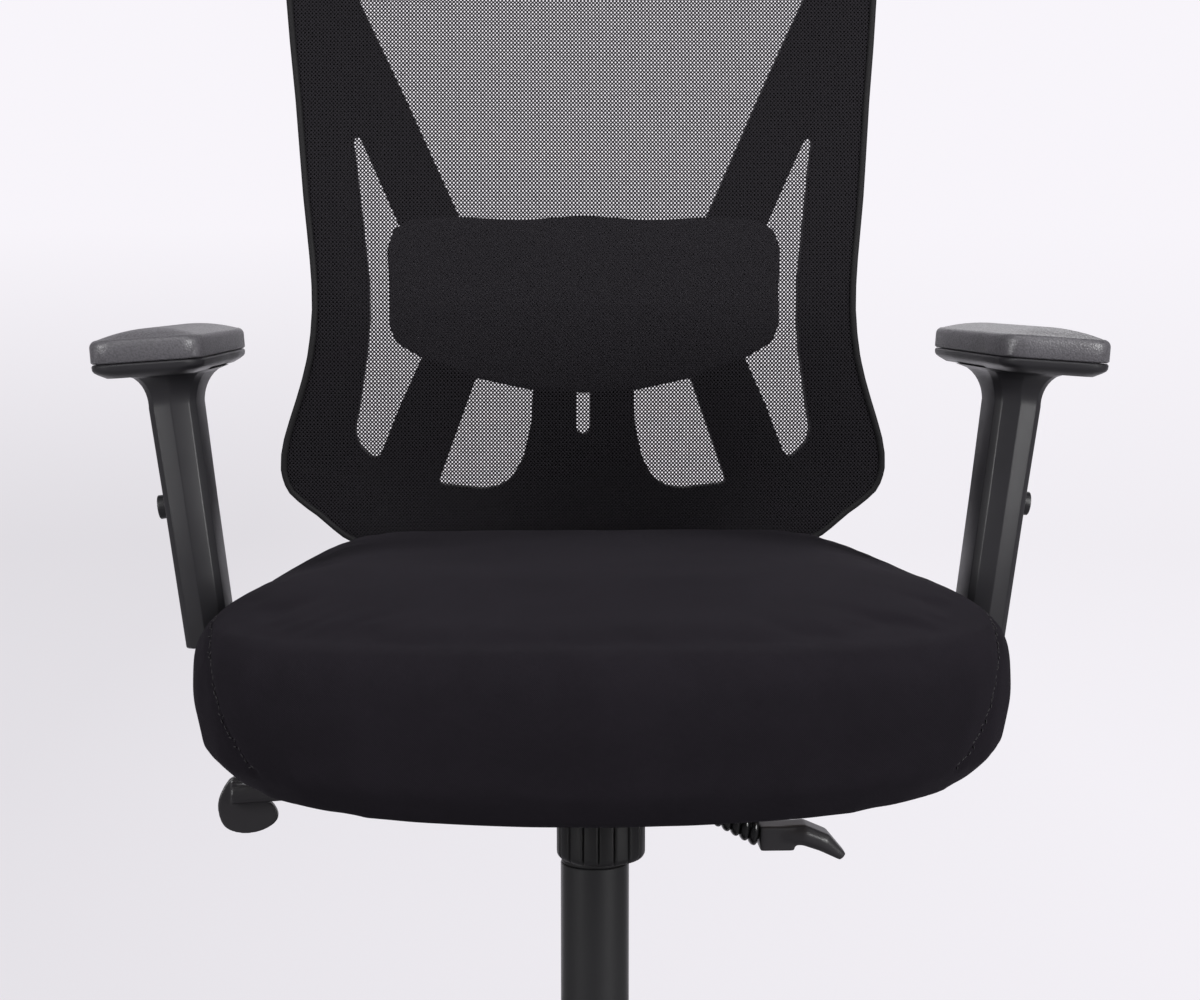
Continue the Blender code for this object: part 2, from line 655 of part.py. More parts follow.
def make_tension_adjuster():
    top = HOUSING_BOTTOM_Z - GAP
    grip_top = top - KNOB_COLLAR_HEIGHT
    bore = TENSION_BOLT_RADIUS + THREAD_CLEARANCE
    grip = flat_solid([ribbed_outline(KNOB_RADIUS, KNOB_RIBS, KNOB_RIB_DEPTH)], grip_top - KNOB_BOTTOM_Z,
                      "XY", (grip_top + KNOB_BOTTOM_Z) / 2)
    bmesh.ops.translate(grip, verts=grip.verts, vec=(0, KNOB_Y, 0))
    origin = (0, KNOB_Y, KNOB_BOTTOM_Z)
    knob = place("tension_knob", grip, NYLON, origin)
    join(knob, primitive_cylinder(KNOB_RADIUS - 0.0004, 0.013, (0, KNOB_Y, top - 0.0065), sides=32))
    cut(knob, primitive_cylinder(bore, 0.030, (0, KNOB_Y, top), sides=16))
    bolt_bottom = top - 0.0147
    bolt_middle = (0, KNOB_Y, (TENSION_BOLT_TOP_Z + bolt_bottom) / 2)
    bolt = primitive_cylinder(TENSION_BOLT_RADIUS, TENSION_BOLT_TOP_Z - bolt_bottom, bolt_middle, sides=16)
    place("tension_bolt", bolt, BARE_STEEL, origin)
    nut_middle = (0, KNOB_Y, TENSION_NUT_Z)
    block = primitive_box((TENSION_NUT_WIDTH, TENSION_NUT_WIDTH, TENSION_NUT_HEIGHT), nut_middle)
    nut = place("tension_nut", block, BARE_STEEL, nut_middle)
    cut(nut, primitive_cylinder(bore, 0.02, nut_middle, sides=16))
    floor, ceiling = HOUSING_BOTTOM_Z + HOUSING_WALL, TENSION_NUT_Z - TENSION_NUT_HEIGHT / 2
    low, high = floor + SPRING_WIRE + GAP, ceiling - SPRING_WIRE - GAP
    turns_steps = 12 * SPRING_TURNS
    path = []
    for step in range(turns_steps + 1):
        angle = 2 * math.pi * SPRING_TURNS * step / turns_steps
        path.append((SPRING_RADIUS * math.cos(angle), KNOB_Y + SPRING_RADIUS * math.sin(angle),
                     low + (high - low) * step / turns_steps))
    rod("tension_spring", path, SPRING_WIRE, BARE_STEEL, (0, KNOB_Y, low), 1)


def make_height_lever():
    """A bent rod: its inner end lies over the release pin, its outer end carries a hanging paddle."""
    path = ((0.006, 0, 0.3805), (-0.028, 0, 0.3805), (-0.050, 0, 0.3775), (-0.082, 0, 0.3665),
            (-0.120, 0, 0.3560), (-0.160, 0, 0.3515), (-0.210, 0, HEIGHT_LEVER_BOSS_Z))
    lever = rod("height_lever", path, LEVER_ROD_RADIUS, NYLON, HEIGHT_LEVER_PIVOT)
    boss_centre = (-0.229, 0, HEIGHT_LEVER_BOSS_Z)
    join(lever, primitive_cylinder(0.0075, 0.046, boss_centre, "X", 20, end_radius=0.0045))
    paddle = smooth_points(((-0.251, 0.3615), (-0.2605, 0.350), (-0.2625, 0.338), (-0.258, 0.326),
                            (-0.246, 0.3215), (-0.232, 0.3235), (-0.2215, 0.331), (-0.224, 0.341),
                            (-0.236, 0.351)), 3, closed=True)
    join(lever, flat_solid([paddle], 0.0075, "XZ", -0.0065))


def make_lock_lever():
    """The tilt lock's lever: a sloping rod, a ribbed boot round it and a curved paddle."""
    y = LOCK_LEVER_Y
    path = ((0.044, y, 0.3565), (0.062, y, 0.3510), (0.114, y, 0.3262))
    lever = rod("tilt_lock_lever", path, LEVER_ROD_RADIUS, NYLON, LOCK_LEVER_PIVOT)
    join(lever, primitive_box((0.024, 0.022, 0.0170), (0.1235, y, 0.3247)))
    stations = ((0.126, 0.3262, 0.0070, 0.011), (0.142, 0.3270, 0.0072, 0.0145),
                (0.156, 0.3215, 0.0066, 0.0140), (0.1695, 0.3105, 0.0030, 0.0085))
    lean = (0.0, math.radians(-10), math.radians(-30), math.radians(-42))
    rings = []
    for (x, z, half_z, half_y), slope in zip(stations, lean):
        section = octagon(half_y, half_z, half_z * 0.6)
        up = Vector((-math.sin(slope), 0.0, math.cos(slope)))
        rings.append([Vector((x, y + p.x, z)) + up * p.y for p in section])
    join(lever, lofted(rings))


def circle(radius, sides):
    return [Vector((math.cos(2 * math.pi * i / sides), math.sin(2 * math.pi * i / sides))) * radius
            for i in range(sides)]


def make_lever_boot():
    """Upright rings that grow towards the paddle, strung along the lock lever's sloping rod."""
    start, end = Vector(BOOT_START), Vector(BOOT_END)
    stations = []
    for ring in range(BOOT_RINGS):
        crest = BOOT_SMALL_RADIUS + BOOT_GROWTH * (ring + 1) / BOOT_RINGS
        for along, radius in ((0.0, crest - BOOT_FOLD), (0.3, crest), (0.7, crest)):
            stations.append(((ring + along) / BOOT_RINGS, radius))
    stations.append((1.0, stations[-1][1] - BOOT_FOLD))
    rings = []
    for along, radius in stations:
        centre = start.lerp(end, along)
        rings.append([centre + Vector((0.0, p.x, p.y)) for p in circle(radius, 16)])
    boot = place("lock_lever_boot", lofted(rings), RUBBER, LOCK_LEVER_PIVOT)
    bore = [start.lerp(end, -0.3), start.lerp(end, 1.3)]
    hole = circle(BOOT_BORE_RADIUS, 10)
    cut(boot, lofted([[centre + Vector((0.0, p.x, p.y)) for p in hole] for centre in bore]))


# ---------------------------------------------------------------- seat

def seat_outline(inset):
    """Points round the seat's plan, moved in by inset."""
    across, along = 1 - inset / 0.257, 1 - inset / 0.240
    outline = mirrored(smooth_points(SEAT_HALF_PLAN, 2))
    return [(p.x * across, SEAT_CENTRE_Y + (p.y - SEAT_CENTRE_Y) * along) for p in outline]


def seat_ring(inset, height, front_drop=0.0, side_rise=0.0):
    """One level of the cushion: its front falls like a waterfall edge and its sides may rise."""
    ring = []
    for x, y in seat_outline(inset):
        fall = front_drop * smooth_step(0.080, 0.230, -y)
        ring.append(Vector((x, y, height - fall + side_rise * (x / 0.25) ** 2)))
    return ring


def make_seat():
    clear = PAN_INSET - GAP
    place("seat_cushion", lofted([
        seat_ring(clear, PAN_TOP_Z + GAP), seat_ring(clear, 0.3995, 0.0155, 0.012),
        seat_ring(0.022, 0.4005, 0.0155, 0.014), seat_ring(0.006, 0.4165, 0.010, 0.009),
        seat_ring(0.0, 0.448), seat_ring(0.001, 0.482, 0.006), seat_ring(0.009, 0.502, 0.012),
        seat_ring(0.030, 0.5115, 0.016), seat_ring(0.080, 0.5155, 0.016), seat_ring(0.140, 0.5160, 0.010),
    ]), SEAT_FABRIC, (0, *FRONT_AXLE))
    place("seat_pan", lofted([seat_ring(PAN_INSET, PAN_BOTTOM_Z), seat_ring(PAN_INSET, PAN_TOP_Z)]),
          PLYWOOD, (0, *FRONT_AXLE))


def make_seat_carrier():
    """A plate with a window over the mechanism, and a flange each side down to the front axle."""
    top = PAN_BOTTOM_Z - GAP
    plate_z = top - CARRIER_PLATE / 2
    plate = primitive_box((0.210, CARRIER_LENGTH, CARRIER_PLATE), (0, CARRIER_Y, plate_z))
    carrier = place("seat_carrier", plate, BLACK_STEEL, (0, *FRONT_AXLE))
    cut(carrier, primitive_box((0.147, 0.195, 0.02), (0, -0.0025, plate_z)))
    flange_height, ear_height = 0.0127, 0.048
    for side in (-1, 1):
        x = side * CARRIER_FLANGE_X
        flange_centre = (x, CARRIER_Y, top - flange_height / 2)
        ear_centre = (x, FRONT_AXLE[0] - 0.001, top - ear_height / 2)
        join(carrier, primitive_box((CARRIER_FLANGE, CARRIER_LENGTH, flange_height), flange_centre))
        join(carrier, primitive_box((CARRIER_FLANGE, 0.028, ear_height), ear_centre))
    cut(carrier, primitive_cylinder(FRONT_AXLE_RADIUS + GAP, 0.2, (0, *FRONT_AXLE), "X", 16))


# ---------------------------------------------------------------- armrests

def arm_frame(side):
    """Arm coordinates to chair coordinates: Z up the leaning post, X outwards across it."""
    lean = Matrix.Rotation(side * ARM_LEAN, 4, "Y")
    return Matrix.Translation((side * ARM_CENTRE_X, ARM_Y, ARM_CENTRE_Z)) @ lean


def pad_frame(side):
    tilt = Matrix.Rotation(side * PAD_TILT, 4, "Y")
    return Matrix.Translation((side * PAD_CENTRE[0], PAD_CENTRE[1], PAD_CENTRE[2])) @ tilt


def carried(bm, frame):
    bmesh.ops.transform(bm, matrix=frame, verts=bm.verts)
    return bm


def make_upright(name, side):
    """The arm's bracket: a foot under the pan, a bend round the cushion and the leaning post."""
    up = Vector((math.sin(ARM_LEAN), math.cos(ARM_LEAN)))
    across = Vector((up.y, -up.x))
    centre = Vector((ARM_CENTRE_X, ARM_CENTRE_Z))
    def post(offset, height):
        return centre + across * offset + up * height
    inner_low, outer_low = post(-POST_HALF_X, POST_BOTTOM), post(POST_HALF_X, POST_BOTTOM)
    foot_top = PAN_BOTTOM_Z - GAP
    outer = smooth_points((outer_low, (0.2560, 0.4015), (0.2430, 0.3880), (0.2230, 0.3835)), 3)
    inner = smooth_points(((0.2180, 0.3950), (0.2315, 0.3980), (0.2400, 0.4080), inner_low), 3)
    outline = (
        [post(-POST_HALF_X, POST_TOP), post(POST_HALF_X, POST_TOP)] + outer
        + [(0.190, 0.3880), (0.170, 0.4005), (0.112, 0.4005), (0.112, foot_top), (0.178, foot_top)]
        + [(0.1870, 0.3960)] + inner
    )
    loop = [(side * p[0], p[1]) for p in outline]
    place(name, flat_solid([loop], 2 * POST_HALF_Y, "XZ", -ARM_Y), ARM_PLASTIC)


def make_sleeve(name, side):
    """A faceted tube that flares into the plate under the pad, bored for the post and the button."""
    frame = arm_frame(side)
    stations = ((SLEEVE_BOTTOM, 0.0146, 0.0260), (0.030, 0.0150, 0.0270), (SLEEVE_TOP, 0.0158, 0.0280))
    rings = [
        [frame @ Vector((p.x, p.y, height)) for p in octagon(half_x, half_y, 0.0060)]
        for height, half_x, half_y in stations
    ]
    top = pad_frame(side)
    neck = Vector((0.0, ARM_Y - PAD_CENTRE[1], 0.0))
    flare = ((-0.0175, 0.0185, 0.0320), (-0.0125, 0.0230, 0.0400), (-0.0094, 0.0290, 0.0520))
    for height, half_x, half_y in flare:
        rings.append([top @ (neck + Vector((p.x, p.y, height))) for p in octagon(half_x, half_y, 0.0100)])
    sleeve = place(name, lofted(rings), ARM_PLASTIC, frame.translation)
    bore_height = BORE_TOP - SLEEVE_BOTTOM + 0.01
    cut(sleeve, carried(primitive_box(
        (2 * (POST_HALF_X + POST_CLEARANCE), 2 * (POST_HALF_Y + POST_CLEARANCE), bore_height),
        (0, 0, BORE_TOP - bore_height / 2)), frame))
    button_height = (BUTTON_Z - ARM_CENTRE_Z) / math.cos(ARM_LEAN)
    cut(sleeve, carried(primitive_cylinder(
        BUTTON_RADIUS + BUTTON_CLEARANCE, 0.020, (side * 0.0190, 0, button_height), "X", 16), frame))


def make_button(name, side):
    frame = arm_frame(side)
    height = (BUTTON_Z - ARM_CENTRE_Z) / math.cos(ARM_LEAN)
    middle = Vector((side * (BUTTON_INNER_X + BUTTON_OUTER_X) / 2, 0, height))
    origin = frame @ middle
    body = primitive_cylinder(BUTTON_RADIUS, BUTTON_OUTER_X - BUTTON_INNER_X, middle, "X", 16)
    button = place(name, carried(body, frame), ARM_PLASTIC, origin)
    bevel(button, 0.0010)


def pad_rings(side, levels):
    """Rounded rectangles over the pad's frame, one for each (height, inset)."""
    top = pad_frame(side)
    rings = []
    for height, inset in levels:
        plan = rounded_rectangle(PAD_HALF_X - inset, PAD_HALF_Y - inset, 0.0130 - inset * 0.4)
        rings.append([top @ Vector((p.x, p.y, height)) for p in plan])
    return rings


def make_pad(side, word):
    origin = pad_frame(side).translation
    base = ((-0.0090, 0.0085), (-0.0060, 0.0020), (-GAP / 2, 0.0006))
    pad = ((GAP / 2, 0.0), (0.0105, 0.0004), (0.0145, 0.0030), (0.0175, 0.0100), (0.0195, 0.0220))
    place(f"arm_pad_base_{word}", lofted(pad_rings(side, base)), ARM_PLASTIC, origin)
    place(f"arm_pad_{word}", lofted(pad_rings(side, pad)), PAD_PU, origin)


def make_arms():
    for side, word in ((1, "left"), (-1, "right")):
        make_upright(f"arm_upright_{word}", side)
        make_sleeve(f"arm_sleeve_{word}", side)
        make_button(f"arm_button_{word}", side)
        make_pad(side, word)


# ---------------------------------------------------------------- back

def profile_y(z):
    """Smooth curve down the middle of the back's front, through BACK_PROFILE."""
    table = BACK_PROFILE
    i = max(1, min(len(table) - 3, sum(height <= z for height, _ in table) - 1))
    (z0, y0), (z1, y1), (z2, y2), (z3, y3) = table[i - 1:i + 3]
    t = (z - z1) / (z2 - z1)
    slope1 = (y2 - y0) / (z2 - z0) * (z2 - z1)
    slope2 = (y3 - y1) / (z3 - z1) * (z2 - z1)
    return ((2 * t ** 3 - 3 * t * t + 1) * y1 + (t ** 3 - 2 * t * t + t) * slope1
            + (3 * t * t - 2 * t ** 3) * y2 + (t ** 3 - t * t) * slope2)


LEVEL_Y = [(z, profile_y(z)) for z in (0.48, *BACK_LEVELS, 1.10)]
COLUMN_WRAP = [(x, BACK_WRAP * (x / 0.235) ** 2) for x in (-0.24, *BACK_COLUMNS, 0.24)]


def back_y(x, z):
    """The mesh's middle surface, flat between the slicing planes so that bent solids nest."""
    return read_table(LEVEL_Y, z) - read_table(COLUMN_WRAP, x)


def frame_recess(x, z):
    """How far behind the mesh the frame stands: nothing at its rails, most in the middle."""
    from_side = 1 - smooth_step(0.72, 0.86, abs(x) / read_table(BACK_HALF_WIDTHS, z))
    from_top = 1 - smooth_step(0.960, 1.040, z)
    depth = 0.008 + (FRAME_RECESS - 0.008) * smooth_step(0.490, 0.560, z)
    return depth * from_side * from_top


def bent(bm, offset):
    for vert in bm.verts:
        vert.co.y += offset(vert.co.x, vert.co.z)
    return bm


def back_outline(inset=0.0):
    """The back's outline, from the bottom's middle up the +X side to the top's middle and back."""
    half = list(BACK_BOTTOM_EDGE) + [(width, z) for z, width in BACK_HALF_WIDTHS] + list(BACK_TOP_EDGE)
    middle_z = (BACK_BOTTOM_EDGE[0][1] + BACK_TOP_EDGE[-1][1]) / 2
    half_height = BACK_TOP_EDGE[-1][1] - middle_z
    moved = []
    for x, z in half:
        moved.append((x * (1 - inset / 0.21), middle_z + (z - middle_z) * (1 - inset / half_height)))
    return mirrored(smooth_points(moved, 2))


def frame_windows():
    """The frame's openings: one above the struts, and on each side one outside and one below."""
    upper = mirrored(smooth_points((
        (0.0, 0.7360), (0.0880, 0.7360), (0.0975, 0.7560), (0.1385, 0.8465), (0.1790, 0.9330),
        (0.1900, 0.9740), (0.1870, 1.0130), (0.1700, 1.0390), (0.1300, 1.0500), (0.0, 1.0550)), 1))
    side = ((0.1820, 0.8340), (0.1765, 0.7970), (0.1710, 0.7480), (0.1667, 0.7060), (0.1665, 0.6760),
            (0.1690, 0.6480), (0.1762, 0.6060), (0.1800, 0.5880), (0.1770, 0.5755), (0.1700, 0.5675),
            (0.1625, 0.5650), (0.1445, 0.6090), (0.1270, 0.6465), (0.1180, 0.6700), (0.1180, 0.7200),
            (0.1445, 0.7490))
    lower = ((0.0395, 0.6520), (0.0398, 0.6200), (0.0415, 0.5920), (0.0475, 0.5650), (0.0570, 0.5480),
             (0.0680, 0.5415), (0.0800, 0.5400), (0.1160, 0.5440), (0.0845, 0.6305), (0.0765, 0.6520))
    loops = [upper]
    for side_sign in (-1, 1):
        for loop in (side, lower):
            loops.append([(side_sign * x, z) for x, z in loop])
    return loops


def slot_outline():
    points = []
    for centre_z, start in ((SLOT_TOP_Z - SLOT_HALF_WIDTH, 0.0), (SLOT_BOTTOM_Z + SLOT_HALF_WIDTH, math.pi)):
        for step in range(6):
            angle = start + math.pi * step / 5
            points.append((SLOT_HALF_WIDTH * math.cos(angle), centre_z + SLOT_HALF_WIDTH * math.sin(angle)))
    return points


def make_back_frame():
    loops = [back_outline(0.0015)] + frame_windows() + [slot_outline()]
    bm = sliced(flat_solid(loops, FRAME_THICKNESS, "XZ"))
    front = MESH_THICKNESS / 2 + GAP + FRAME_THICKNESS / 2
    frame = place("back_frame", bent(bm, lambda x, z: back_y(x, z) + frame_recess(x, z) + front), NYLON,
                  (0, *MAIN_AXLE))
    for side in (-1, 1):
        hole_centre = (side * BACK_BOLT_X, BRACKET_FRONT_Y, BACK_BOLT_Z)
        cut(frame, primitive_cylinder(BOLT_RADIUS + GAP, 0.034, hole_centre, "Y", 12))


def make_back_mesh():
    bm = sliced(flat_solid([back_outline()], MESH_THICKNESS, "XZ"))
    place("back_mesh", bent(bm, back_y), BACK_MESH, (0, *MAIN_AXLE))


def make_lumbar():
    half = ((0.0, 0.7565), (0.050, 0.7525), (0.097, 0.7550), (0.134, 0.7535), (0.1475, 0.7450),
            (0.1525, 0.7300), (0.1510, 0.7000), (0.1515, 0.6720), (0.1465, 0.6580), (0.1275, 0.6465),
            (0.0870, 0.6305), (0.0420, 0.6205), (0.0, 0.6180))
    bm = sliced(flat_solid([mirrored([Vector(p) for p in half])], LUMBAR_DEPTH, "XZ"))
    front = MESH_THICKNESS / 2 + LUMBAR_CLEARANCE
    middle = front + LUMBAR_DEPTH / 2
    pad = place("lumbar_pad", bent(bm, lambda x, z: back_y(x, z) + middle), LUMBAR_FOAM,
                (0, back_y(0, LUMBAR_PIN_Z), LUMBAR_PIN_Z))
    pin_start = back_y(0, LUMBAR_PIN_Z) + front + LUMBAR_DEPTH + 4 * GAP
    frame_rear = back_y(0, LUMBAR_PIN_Z) + MESH_THICKNESS / 2 + GAP + FRAME_RECESS + FRAME_THICKNESS
    knob_start = frame_rear + LUMBAR_KNOB_CLEARANCE
    knob_end = knob_start + LUMBAR_KNOB_HEIGHT
    pin_middle = (0, (pin_start + knob_end) / 2, LUMBAR_PIN_Z)
    pin = primitive_cylinder(LUMBAR_PIN_RADIUS, knob_end - pin_start, pin_middle, "Y", 12)
    knob = place("lumbar_knob", pin, NYLON, pad.location)
    knob_middle = (0, (knob_start + knob_end) / 2, LUMBAR_PIN_Z)
    join(knob, primitive_cylinder(LUMBAR_KNOB_RADIUS, LUMBAR_KNOB_HEIGHT, knob_middle, "Y", 24,
                                  end_radius=LUMBAR_KNOB_RADIUS - 0.0015))


def make_back_bracket():
    """A fork on the main axle, and a spine that runs back under the seat and up to the frame."""
    upright_y = BRACKET_FRONT_Y + BRACKET_THICKNESS / 2
    path = smooth_points(((0.100, 0.370), (0.195, 0.371), (0.240, 0.380), (0.266, 0.405),
                          (upright_y, 0.440), (upright_y, 0.565)), 3)
    spine = flat_solid([band_outline(path, BRACKET_THICKNESS)], 2 * BRACKET_HALF_WIDTH, "YZ")
    bracket = place("back_bracket", spine, BLACK_STEEL, (0, *MAIN_AXLE))
    join(bracket, primitive_box((0.183, 0.027, 0.018), (0, 0.1085, MAIN_AXLE[1])))
    for side in (-1, 1):
        join(bracket, primitive_box((0.006, 0.087, 0.026), (side * 0.0885, 0.0785, MAIN_AXLE[1])))
    cut(bracket, primitive_cylinder(MAIN_AXLE_RADIUS + GAP, 0.25, (0, *MAIN_AXLE), "X", 16))
    for side in (-1, 1):
        hole_centre = (side * BACK_BOLT_X, upright_y, BACK_BOLT_Z)
        cut(bracket, primitive_cylinder(BOLT_RADIUS + GAP, 0.06, hole_centre, "Y", 12))


def make_back_bolts():
    head_start = BRACKET_FRONT_Y + BRACKET_THICKNESS + GAP
    start, end = BRACKET_FRONT_Y - BOLT_REACH, head_start + 0.002
    for side, word in ((1, "left"), (-1, "right")):
        x = side * BACK_BOLT_X
        shank = primitive_cylinder(BOLT_RADIUS, end - start, (x, (end + start) / 2, BACK_BOLT_Z), "Y", 12)
        bolt = place(f"back_bolt_{word}", shank, BARE_STEEL, (x, head_start, BACK_BOLT_Z))
        head_middle = (x, head_start + BOLT_HEAD_HEIGHT / 2, BACK_BOLT_Z)
        join(bolt, primitive_cylinder(BOLT_HEAD_RADIUS, BOLT_HEAD_HEIGHT, head_middle, "Y", 6))


def main():
    make_casters()
    make_star_base()
    make_lift()
    make_housing()
    make_axles()
    make_tension_adjuster()
    make_height_lever()
    make_lock_lever()
    make_lever_boot()
    make_seat_carrier()
    make_seat()
    make_arms()
    make_back_bracket()
    make_back_frame()
    make_back_mesh()
    make_lumbar()
    make_back_bolts()


main()
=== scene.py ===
"""The looks of the swivel office chair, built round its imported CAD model.

Metres, +Z up; the chair faces -Y and its left is at +X. Places are read from the CAD nodes.
"""

import json
import math

import bmesh
import bpy
import numpy as np
from mathutils import Matrix, Vector
from mathutils.bvhtree import BVHTree
from mathutils.geometry import interpolate_bezier
from mathutils.kdtree import KDTree


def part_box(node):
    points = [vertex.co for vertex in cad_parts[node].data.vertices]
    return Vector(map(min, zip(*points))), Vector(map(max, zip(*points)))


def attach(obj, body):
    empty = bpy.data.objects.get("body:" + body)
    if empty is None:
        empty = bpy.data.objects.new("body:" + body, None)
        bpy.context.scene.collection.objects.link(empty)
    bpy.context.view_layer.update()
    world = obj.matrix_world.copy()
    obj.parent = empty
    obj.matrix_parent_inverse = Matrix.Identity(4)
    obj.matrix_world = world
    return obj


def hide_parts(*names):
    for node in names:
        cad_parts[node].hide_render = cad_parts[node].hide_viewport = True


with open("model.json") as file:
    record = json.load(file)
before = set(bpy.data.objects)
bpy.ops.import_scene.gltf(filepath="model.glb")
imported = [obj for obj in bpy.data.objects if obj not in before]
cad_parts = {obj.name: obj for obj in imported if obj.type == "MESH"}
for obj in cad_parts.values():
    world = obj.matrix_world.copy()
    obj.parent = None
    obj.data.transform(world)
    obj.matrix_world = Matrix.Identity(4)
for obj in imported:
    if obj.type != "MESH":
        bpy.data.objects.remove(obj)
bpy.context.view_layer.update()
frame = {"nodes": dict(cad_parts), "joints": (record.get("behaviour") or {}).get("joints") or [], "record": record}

SIDES = ((1, "left"), (-1, "right"))
CASTERS = range(1, 6)
JOIN_WITHIN = 0.00001

# Seat cushion
CUSHION_SHRINK = 0.0008
CUSHION_VOXEL = 0.0060
CUSHION_PRESSURE = 4.0
CUSHION_FRAMES = 20
CUSHION_CAP = 0.0045
PINNED_BELOW = 0.4200
FREE_ABOVE = 0.4450
SEAM_STEPS = 8
SEAM_PITCH = 0.0020
SEAM_DEPTH = 0.0022
SEAM_WIDTH = 0.0026
SEAM_PULL = 0.0016
SEAM_PULL_WIDTH = 0.016
STITCH_PITCH = 0.0046
STITCH_LENGTH = 0.0030
STITCH_RADIUS = 0.00045
# The +X half of the seam between the top panel and the side panel, from the gas lift's axis:
# up the front corner, back along the side's upper edge and round the rear
SEAM_HALF = (
    (0.2190, -0.2330, 0.4060), (0.2320, -0.2200, 0.4300), (0.2400, -0.2080, 0.4560),
    (0.2460, -0.1920, 0.4800), (0.2500, -0.1720, 0.4960), (0.2490, -0.1380, 0.5030),
    (0.2390, -0.0840, 0.5050), (0.2280, -0.0200, 0.5060), (0.2140, 0.0800, 0.5060),
    (0.1990, 0.1400, 0.5050), (0.1760, 0.1780, 0.5045), (0.1250, 0.1930, 0.5040),
    (0.0600, 0.1970, 0.5040), (0.0, 0.1975, 0.5040),
)

# Armrests
PAD_HALF_X = 0.0345
PAD_HALF_Y = 0.1130
PAD_HEIGHT = 0.0200
PAD_CROWN = 0.0054
PAD_EDGE = 0.0046
PAD_CORNER = 0.0140
PAD_EDGE_STEPS = 7
PAD_CROWN_STEPS = 6
PAD_CROWN_REACH = 0.93
PAD_TILT = math.radians(4.0)
PAD_BASE_HEIGHT = 0.0090
# Up the plate under the pad: (inset, height)
PLATE_LEVELS = (
    (0.0120, -PAD_BASE_HEIGHT), (0.0080, -PAD_BASE_HEIGHT), (0.0035, -0.0066), (0.0012, -0.0050),
    (0.0004, -0.0036), (0.0002, -0.0014), (0.0006, -0.0006), (0.0012, -0.0002),
)
BUTTON_OUT = 0.0161
BUTTON_RADIUS = 0.0080
BUTTON_PROUD = 0.0056
BUTTON_EDGE = 0.0010
BUTTON_DEPTH = 0.0036
BUTTON_DISH = 0.0006
BUTTON_SIDES = 48
RECESS_OUT = 0.0225
RECESS_RADIUS = 0.0098
RECESS_CUTTER = 0.020
SLEEVE_BOTTOM = -0.0941
SLEEVE_NECK = 0.0660
SLEEVE_RIDGE = 0.0030
SLEEVE_CORNER = (0.0040, 0.0050)
BORE_TOP = 0.0680
BORE_HALF = (0.0084, 0.0196)
BORE_CORNER = (0.0010, 0.0010)
NECK_HALF = (0.0156, 0.0276)
# Up the sleeve's outside: (height, half width, half depth)
SLEEVE_RINGS = (
    (SLEEVE_BOTTOM, 0.0132, 0.0246), (SLEEVE_BOTTOM + 0.0012, 0.0145, 0.0260), (0.0, 0.0149, 0.0268),
    (SLEEVE_NECK, *NECK_HALF),
)
FLARE_HALF = (0.0295, 0.0520)
FLARE_GAP = 0.0003
FLARE_STEPS = 9
FLARE_END = 0.995

# Back
WEAVE_X = 0.0028
WEAVE_Z = 0.00305
BINDING_RADIUS = 0.0024
BINDING_INSET = 0.0016
MESH_FORWARD = 0.0012
MESH_COLUMNS = 72
MESH_ROWS = 96
MESH_SMOOTHING = 24
# The outline's lower and upper corners, as (X, Z)
MESH_CORNERS = ((0.190, 0.5045), (0.194, 1.074))
# The face is looked for along Y from in front of it, or near its middle past its rim
IN_FRONT_Y = -1.0
FACE_MIDDLE_Y = 0.24
# The cutting planes stay just inside the corners and just off the solid's own vertices
CUT_WITHIN = 0.9999
CUT_ASIDE = 0.000003

# Boot of the tilt lock lever
BOOT_RINGS = 6
BOOT_RING_STEPS = 10
BOOT_SIDES = 40
BOOT_SMALL = 0.0076
BOOT_FOLD = 0.0026
BOOT_BORE = 0.0048
BOOT_SLANT = 0.10

# Tension knob
KNOB_COLLAR = 0.0016
KNOB_EDGE = 0.0045
KNOB_BORE = 0.0053
KNOB_BORE_DEPTH = 0.0145
KNOB_GROOVES = 17
KNOB_GROOVE_SHARE = 0.22
KNOB_GROOVE_DEPTH = 0.0016
KNOB_GROOVE_START = 0.0040
KNOB_GROOVE_STEPS = 20

# Gas lift
LIFT_WALL = 0.0020
LIFT_FLOOR = 0.0040
LIFT_SIDES = 64
ROD_BORE = 0.0043
ROD_BORE_DEPTH = 0.0150

# Casters
WHEEL_CROWN = 0.0030
WHEEL_BORE = 0.0044
WHEEL_BORE_END = 0.0048
WHEEL_SIDES = 56
# Out over the wheel's outer face: (radius, depth)
WHEEL_DISH = (
    (0.0, 0.0010), (0.0075, 0.0012), (0.0100, 0.0035), (0.0180, 0.0035), (0.0205, 0.0004), (0.0225, 0.0),
)
# In over its inner face, as far as the bore: (radius, depth)
WHEEL_HOLLOW = ((0.0240, 0.0), (0.0225, 0.0030), (0.0110, 0.0030), (0.0095, 0.0), (WHEEL_BORE, 0.0))
HOOD_VOXEL = 0.0009

# Studio
BACKDROP_FLAT = 4.6
BACKDROP_CURVE = 1.6
BACKDROP_TOP = 4.5
# The room's light from below, from above and from the wall behind the chair
FLOOR_BOUNCE = 0.30
ROOM_FILL = 0.04
REAR_WALL = 0.90
LIGHTS_AIM = (0.0, 0.0, 0.6)
# Name, place, size in metres and power in watts
SOFT_LIGHTS = (
    ("overhead", (0.0, -0.8, 3.2), (2.4, 1.6), 30.0),
    ("front_left", (2.3, -2.2, 1.5), (1.2, 2.0), 130.0),
    ("front_right", (-2.5, -1.8, 1.5), (1.2, 2.0), 85.0),
    ("rear", (0.6, 3.0, 2.4), (2.0, 1.2), 16.0),
)

